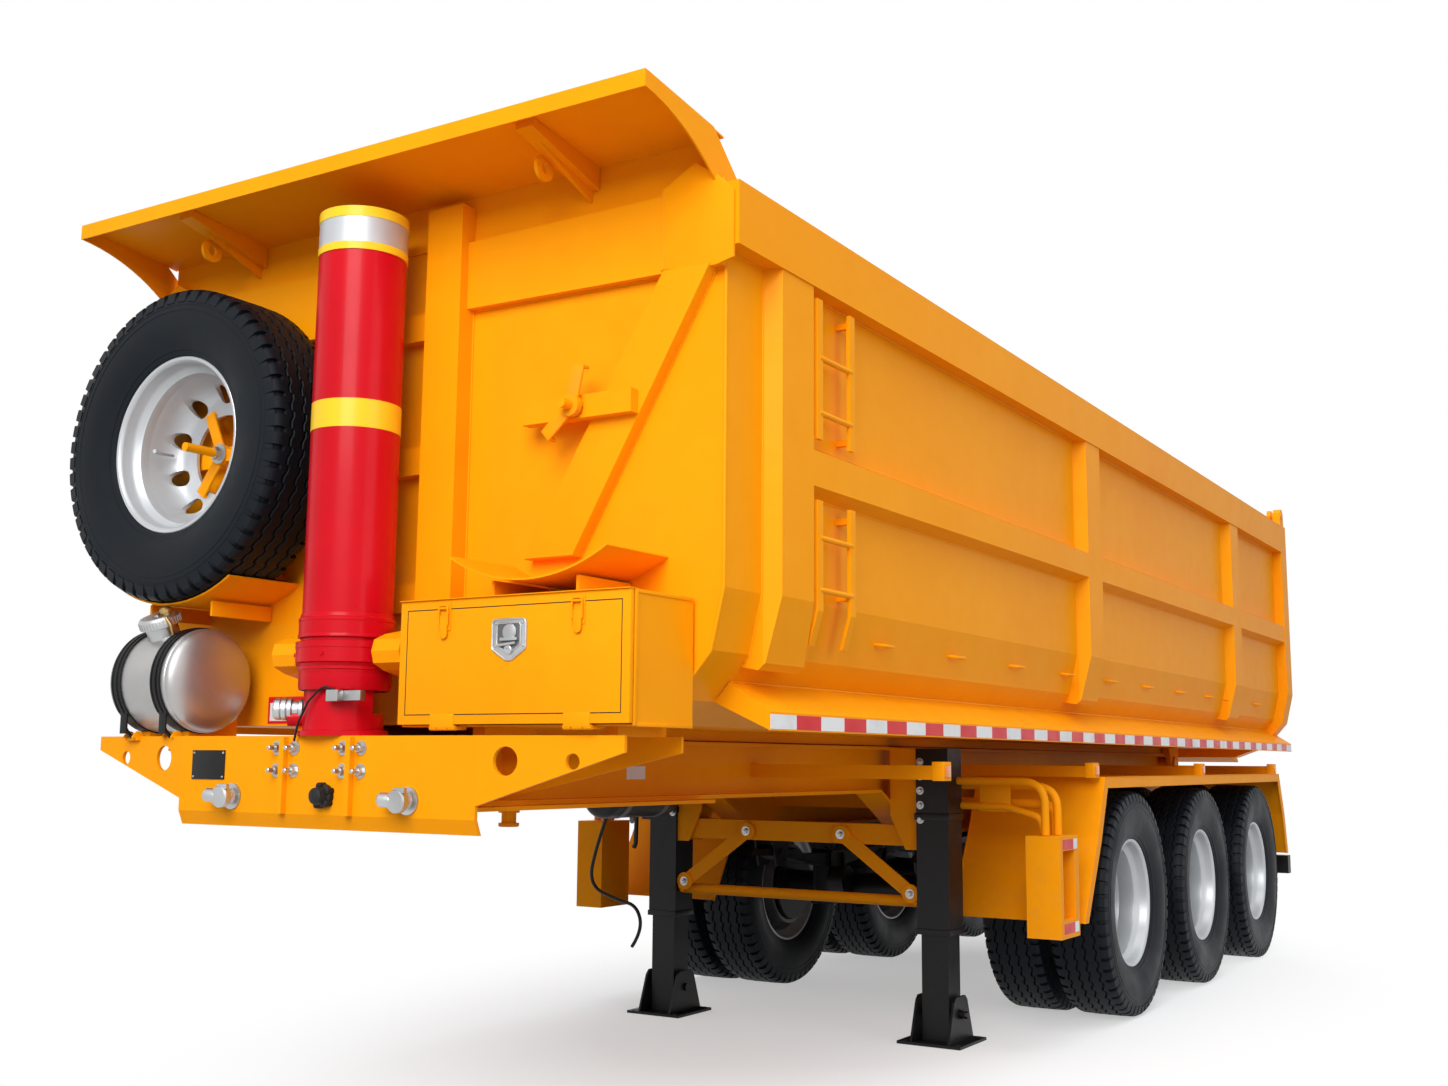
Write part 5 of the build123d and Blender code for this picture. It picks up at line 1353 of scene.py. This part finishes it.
legSpec = {
    "x": middleOf("landing_legs").x,
    "y": 0.7,
    "foot": 0.118,
    "nut": [(0.0, 0.0), (0.016, 0.0), (0.014, 0.003), (0.0, 0.003)],
    "boltTop": 1.185,
    "boltStep": 0.062,
    "eye": [(0.0, -0.001), (0.041, -0.001), (0.041, 0.008), (0.039, 0.01), (0.0, 0.01)],
    "eyes": [(-0.246, 0.861), (-0.585, 0.617), (0.246, 0.861), (0.585, 0.617)],
    "crank": [(-0.85, 0.98), (-0.885, 0.98), (-0.89, 0.78), (-0.9, 0.76)],
    "crankX": 1.03,
}


@part("black", "chassis", "black_paint")
def legTrim(shape):
    # the foot's pin ends and its plate's weld nuts
    x, foot = legSpec["x"], legSpec["foot"]
    for side in (-1, 1):
        bolt(shape, (x, side * 0.803, 0.12), (0, side, 0), 0.014)
        for u, v in ((-foot, foot), (foot, foot), (-foot, -foot), (foot, -foot)):
            lathe(shape, legSpec["nut"], 16, Matrix.Translation((x + u, side * legSpec["y"] + v, 0.012)))


@part("zinc", "chassis")
def legBolts(shape):
    # one row down the inner edge of each leg's front, and one down its back
    for side in (-1, 1):
        for n in range(5):
            z = legSpec["boltTop"] - legSpec["boltStep"] * n
            bolt(shape, (1.0755, side * 0.645, z), (1, 0, 0), 0.01, stud=0.018)
            bolt(shape, (0.9245, side * 0.645, z), (-1, 0, 0), 0.01)


@part("black", "chassis", "black_paint")
def legBands(shape):
    for half, low, high in ((0.08, 0.45, 0.475), (0.082, 0.935, 0.965)):
        x, y = legSpec["x"], legSpec["y"]
        slabPair(shape, (x - half, y - half, low), (x + half, y + half, high), 0.003)


@part("yellow", "chassis", "yellow_paint")
def strutEyes(shape):
    # round flattened eyes on both ends of each strut
    for y, z in legSpec["eyes"]:
        lathe(shape, legSpec["eye"], 28, aim((1.052, y, z), (1, 0, 0)))


@part("zinc", "chassis")
def strutBolts(shape):
    for y, z in legSpec["eyes"]:
        bolt(shape, (1.062, y, z), (1, 0, 0), 0.012, stud=0.022)


@part("black", "chassis", "black_paint")
def legCrank(shape):
    # folded crank handle on the right leg's gearbox
    x = legSpec["crankX"]
    tube(shape, bend([(x, y, z) for y, z in legSpec["crank"]], 0.02), 0.011)
    bolt(shape, (x, -0.836, 1.03), (0, -1, 0), 0.009)


print("legs trimmed")

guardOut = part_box("side_guards")[1].y
guardSpec = {
    "upright": [(0.91, 1.18, 0.54), (0.91, 1.18, 0.815)],
    "bent": [(0.88, 1.085, 1.195), (0.965, 1.105, 1.17)],     # x, z and reach of the two upper pipes
    "lower": [(0.5, 1.0), (0.98, 0.995), (1.135, 0.955), (1.15, 0.882)],
    "beam": 0.5,
    "box": 0.882,
    "tapeY": (guardOut, guardOut + 0.0006),
    "tapeRows": (0.5, 0.845),
    "tapeHalf": 0.021,
    "white": (0.8, 0.85),
    "red": (0.85, 0.985),
}


@part("yellow", "chassis", "yellow_paint")
def guardPipes(shape):
    # the tube behind the window, the three bent pipes to the beam, and the plate that ties them
    for side in (-1, 1):
        tube(shape, [(x, side * y, z) for x, y, z in guardSpec["upright"]], 0.018, 16)
        for x, z, y in guardSpec["bent"]:
            route = [(x, side * guardSpec["beam"], z), (x, side * y, z), (x, side * y, guardSpec["box"])]
            tube(shape, bend(route, 0.1, 10), 0.017, 16)
        route = [(0.925, side * y, z) for y, z in guardSpec["lower"]]
        tube(shape, bend(route, 0.09, 10), 0.015, 16)
    slabPair(shape, (0.918, 0.86, 0.975), (0.926, 1.0, 1.11), 0.002)


def buildGuardTape(shape, colour):
    (x0, x1), (inner, outer), half = guardSpec[colour], guardSpec["tapeY"], guardSpec["tapeHalf"]
    for z in guardSpec["tapeRows"]:
        slabPair(shape, (x0, inner, z - half), (x1, outer, z + half))


make("guardTapeWhite", lambda shape: buildGuardTape(shape, "white"), "tapeWhite", "chassis")
make("guardTapeRed", lambda shape: buildGuardTape(shape, "red"), "tapeRed", "chassis")

armSpec = {
    "places": (2.15, 0.45, -1.44, -3.3),
    "z": 1.153,
    "lens": (0.021, 0.02, 1.232, 1.2395),      # half length, half height, inner and outer y
    "cap": (0.037, 0.034, 1.19, 1.234),
}


def armBlocks(shape, half, high, inner, outer):
    # the same block on the end of every arm
    z = armSpec["z"]
    for x in armSpec["places"]:
        slabPair(shape, (x - half, inner, z - high), (x + half, outer, z + high), 0.003)


@part("amberLens", "chassis", "red_lens")
def armLenses(shape):
    # a square lens let into each arm's end
    armBlocks(shape, *armSpec["lens"])


@part("yellow", "chassis", "yellow_paint")
def armCaps(shape):
    # folded box on the end of each arm
    armBlocks(shape, *armSpec["cap"])


rearSpec = {
    "lenses": (0.83, 0.945, 1.06),
    "z": 0.51,
    "lens": [(0.0, 0.0), (0.046, 0.0), (0.046, 0.006), (0.038, 0.011), (0.0, 0.014)],
}


@part("redLens", "chassis", "red_lens")
def rearLenses(shape):
    # three round lenses in each lamp's box
    for side in (-1, 1):
        for y in rearSpec["lenses"]:
            lathe(shape, rearSpec["lens"], 32, aim((-3.871, side * y, rearSpec["z"]), (-1, 0, 0)))


def buildLampBoxes(shape):
    slabPair(shape, (-3.873, 0.752, 0.455), (-3.84, 1.138, 0.565), 0.004)


lampBoxes = make("lampBoxes", buildLampBoxes, "black", "chassis", "red_lens")
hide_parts("lamps")

fenderSpec = {
    "edge": [(0.717, 0.5), (0.502, 0.86), (0.377, 1.119), (-3.337, 1.119), (-3.457, 0.86), (-3.527, 0.6)],
    "inner": [(-3.48, 0.6), (-3.413, 0.846), (-3.304, 1.074), (0.347, 1.074), (0.46, 0.838), (0.668, 0.5)],
    "stiffeners": (-0.45, -1.35, -2.25),
}


@part("yellow", "chassis", "yellow_paint")
def fenderFlanges(shape):
    # folded flanges along the fenders' outer edges, beads along the inner ones, stiffeners under the roof
    upright = Matrix(((1, 0, 0, 0), (0, 0, -1, 0), (0, 1, 0, 0), (0, 0, 0, 1)))
    for side in (-1, 1):
        y = 1.25 if side > 0 else -1.245
        prism(
            shape, fenderSpec["edge"] + fenderSpec["inner"], 0.005,
            Matrix.Translation((0, y, 0)) @ upright, 0.001,
        )
        tube(shape, [(x, side * 0.635, z) for x, z in fenderSpec["edge"]], 0.007, 8)
    for x in fenderSpec["stiffeners"]:
        slabPair(shape, (x - 0.004, 0.66, 1.085), (x + 0.004, 1.246, 1.119))


gateSpec = {
    "pin": (-3.7, 1.2705, 2.905),
    "hooks": (1.55, 1.95),
    "rod": (-3.848, 1.1, 1.475),
    "holders": (-0.9, -0.3, 0.3, 0.9),
    "seams": (2.328, 1.848),
}


@part("yellow", "tailgate", "yellow_paint")
def gateTrim(shape):
    # pin heads, lock hooks, their rod in its holders, and two seams on the gate
    x, y, z = gateSpec["pin"]
    for side in (-1, 1):
        lathe(shape, band(0.0, 0.03, 0.0, 0.0035), 24, aim((x, side * y, z), (0, side, 0)))
    for z in gateSpec["hooks"]:
        slabPair(shape, (-3.86, 1.183, z - 0.05), (-3.835, 1.207, z + 0.05), 0.004)
    x, y, z = gateSpec["rod"]
    tube(shape, [(x, -y, z), (x, y, z)], 0.014, 12)
    for y in gateSpec["holders"]:
        slab(shape, (-3.866, y - 0.02, z - 0.025), (-3.838, y + 0.02, z + 0.025), 0.004)
    for z in gateSpec["seams"]:
        tube(shape, [(-3.8425, -1.16, z), (-3.8425, 1.16, z)], 0.004, 6)


airTankSpec = {
    "strapReach": 0.15,
    "drainReach": 0.103,
    "drain": [(0.0, 0.0), (0.012, 0.0), (0.012, 0.02), (0.006, 0.03), (0.0, 0.03)],
}


@part("cast", "chassis", "black_paint")
def airTankTrim(shape):
    # two hoop straps and a drain valve
    x, y, z = middleOf("air_tank")
    for strap in (x - airTankSpec["strapReach"], x + airTankSpec["strapReach"]):
        hoop = aim((strap, y, z), (1, 0, 0))
        lathe(shape, band(0.105, 0.108, -0.018, 0.018), 48, hoop, closed=True)
    lathe(shape, airTankSpec["drain"], 14, aim((x, y, z - airTankSpec["drainReach"]), (0, 0, -1)))


print("running gear trimmed")

lightSpec = {
    # place, size and power of each lamp
    "lamps": {
        "keyLamp": ((13.0, 4.0, 7.5), 7.0, 1350.0),
        "sideLamp": ((4.0, 12.0, 4.5), 6.0, 170.0),
        "topLamp": ((1.0, 1.0, 12.0), 9.0, 700.0),
        "rearLamp": ((-13.0, -5.0, 6.0), 7.0, 700.0),
    },
    "target": (0.5, 0.0, 1.2),
    "ambient": 0.58,
    "floor": 60.0,
    "melt": (1.1, 2.7),     # m from the middle, with lengthwise metres counted at the share below
    "lengthwise": 0.55,
    "lift": 0.44,
}


def addLamp(name, at, size, power):
    data = bpy.data.lights.new(name, "AREA")
    data.size = size
    data.energy = power
    lamp = bpy.data.objects.new(name, data)
    lamp.matrix_world = aim(at, Vector(at) - Vector(lightSpec["target"]))
    bpy.context.collection.objects.link(lamp)


def addWorld(spec):
    # white to look at, softer and a little cool as light
    world = bpy.data.worlds.new("studio")
    bpy.context.scene.world = world
    sky = Network(world)
    soft = sky.node("ShaderNodeBackground", None, {"Color": (0.97, 0.985, 1.0), "Strength": spec["ambient"]})
    white = sky.node("ShaderNodeBackground", None, {"Color": (1.0, 1.0, 1.0), "Strength": 1.0})
    both = sky.node("ShaderNodeMixShader", None, {0: sky.seenDirectly(), 1: soft, 2: white})
    sky.node("ShaderNodeOutputWorld", None, {"Surface": both})


def addFloor(spec):
    # white ground that keeps the shadow near the trailer and melts into the backdrop further out
    shape = bmesh.new()
    bmesh.ops.create_grid(shape, x_segments=8, y_segments=8, size=spec["floor"])
    mesh = bpy.data.meshes.new("ground")
    shape.to_mesh(mesh)
    shape.free()
    ground = bpy.data.objects.new("ground", mesh)
    ground.location = (0.0, 0.0, -0.001)    # just under the legs' feet
    bpy.context.collection.objects.link(ground)
    floor = Finish("groundWhite", Roughness=0.9, Specular_IOR_Level=0.1)
    mottle = floor.noise(0.6, 2.0)
    seen = floor.seenDirectly()
    shown = floor.mix(mottle, (0.93, 0.95, 0.97), (0.92, 0.94, 0.96))
    floor.wear(Base_Color=floor.mix(seen, (0.3, 0.3, 0.3), shown))
    stretched = floor.scaled((spec["lengthwise"], 1.0, 1.0))
    away = floor.node("ShaderNodeVectorMath", {"operation": "LENGTH"}, {0: stretched}, "Value")
    melt = away.ramp(*spec["melt"])
    glow = floor.node("ShaderNodeEmission", None, {"Strength": 1.0})
    share = (spec["lift"] + (1.0 - spec["lift"]) * melt) * seen
    surface = floor.node("ShaderNodeMixShader", None, {0: share, 1: floor.shader, 2: glow})
    mesh.materials.append(floor.done(surface))


for name, values in lightSpec["lamps"].items():
    addLamp(name, *values)
addWorld(lightSpec)
addFloor(lightSpec)
bpy.context.scene.view_settings.view_transform = "Standard"
print("light and floor set")
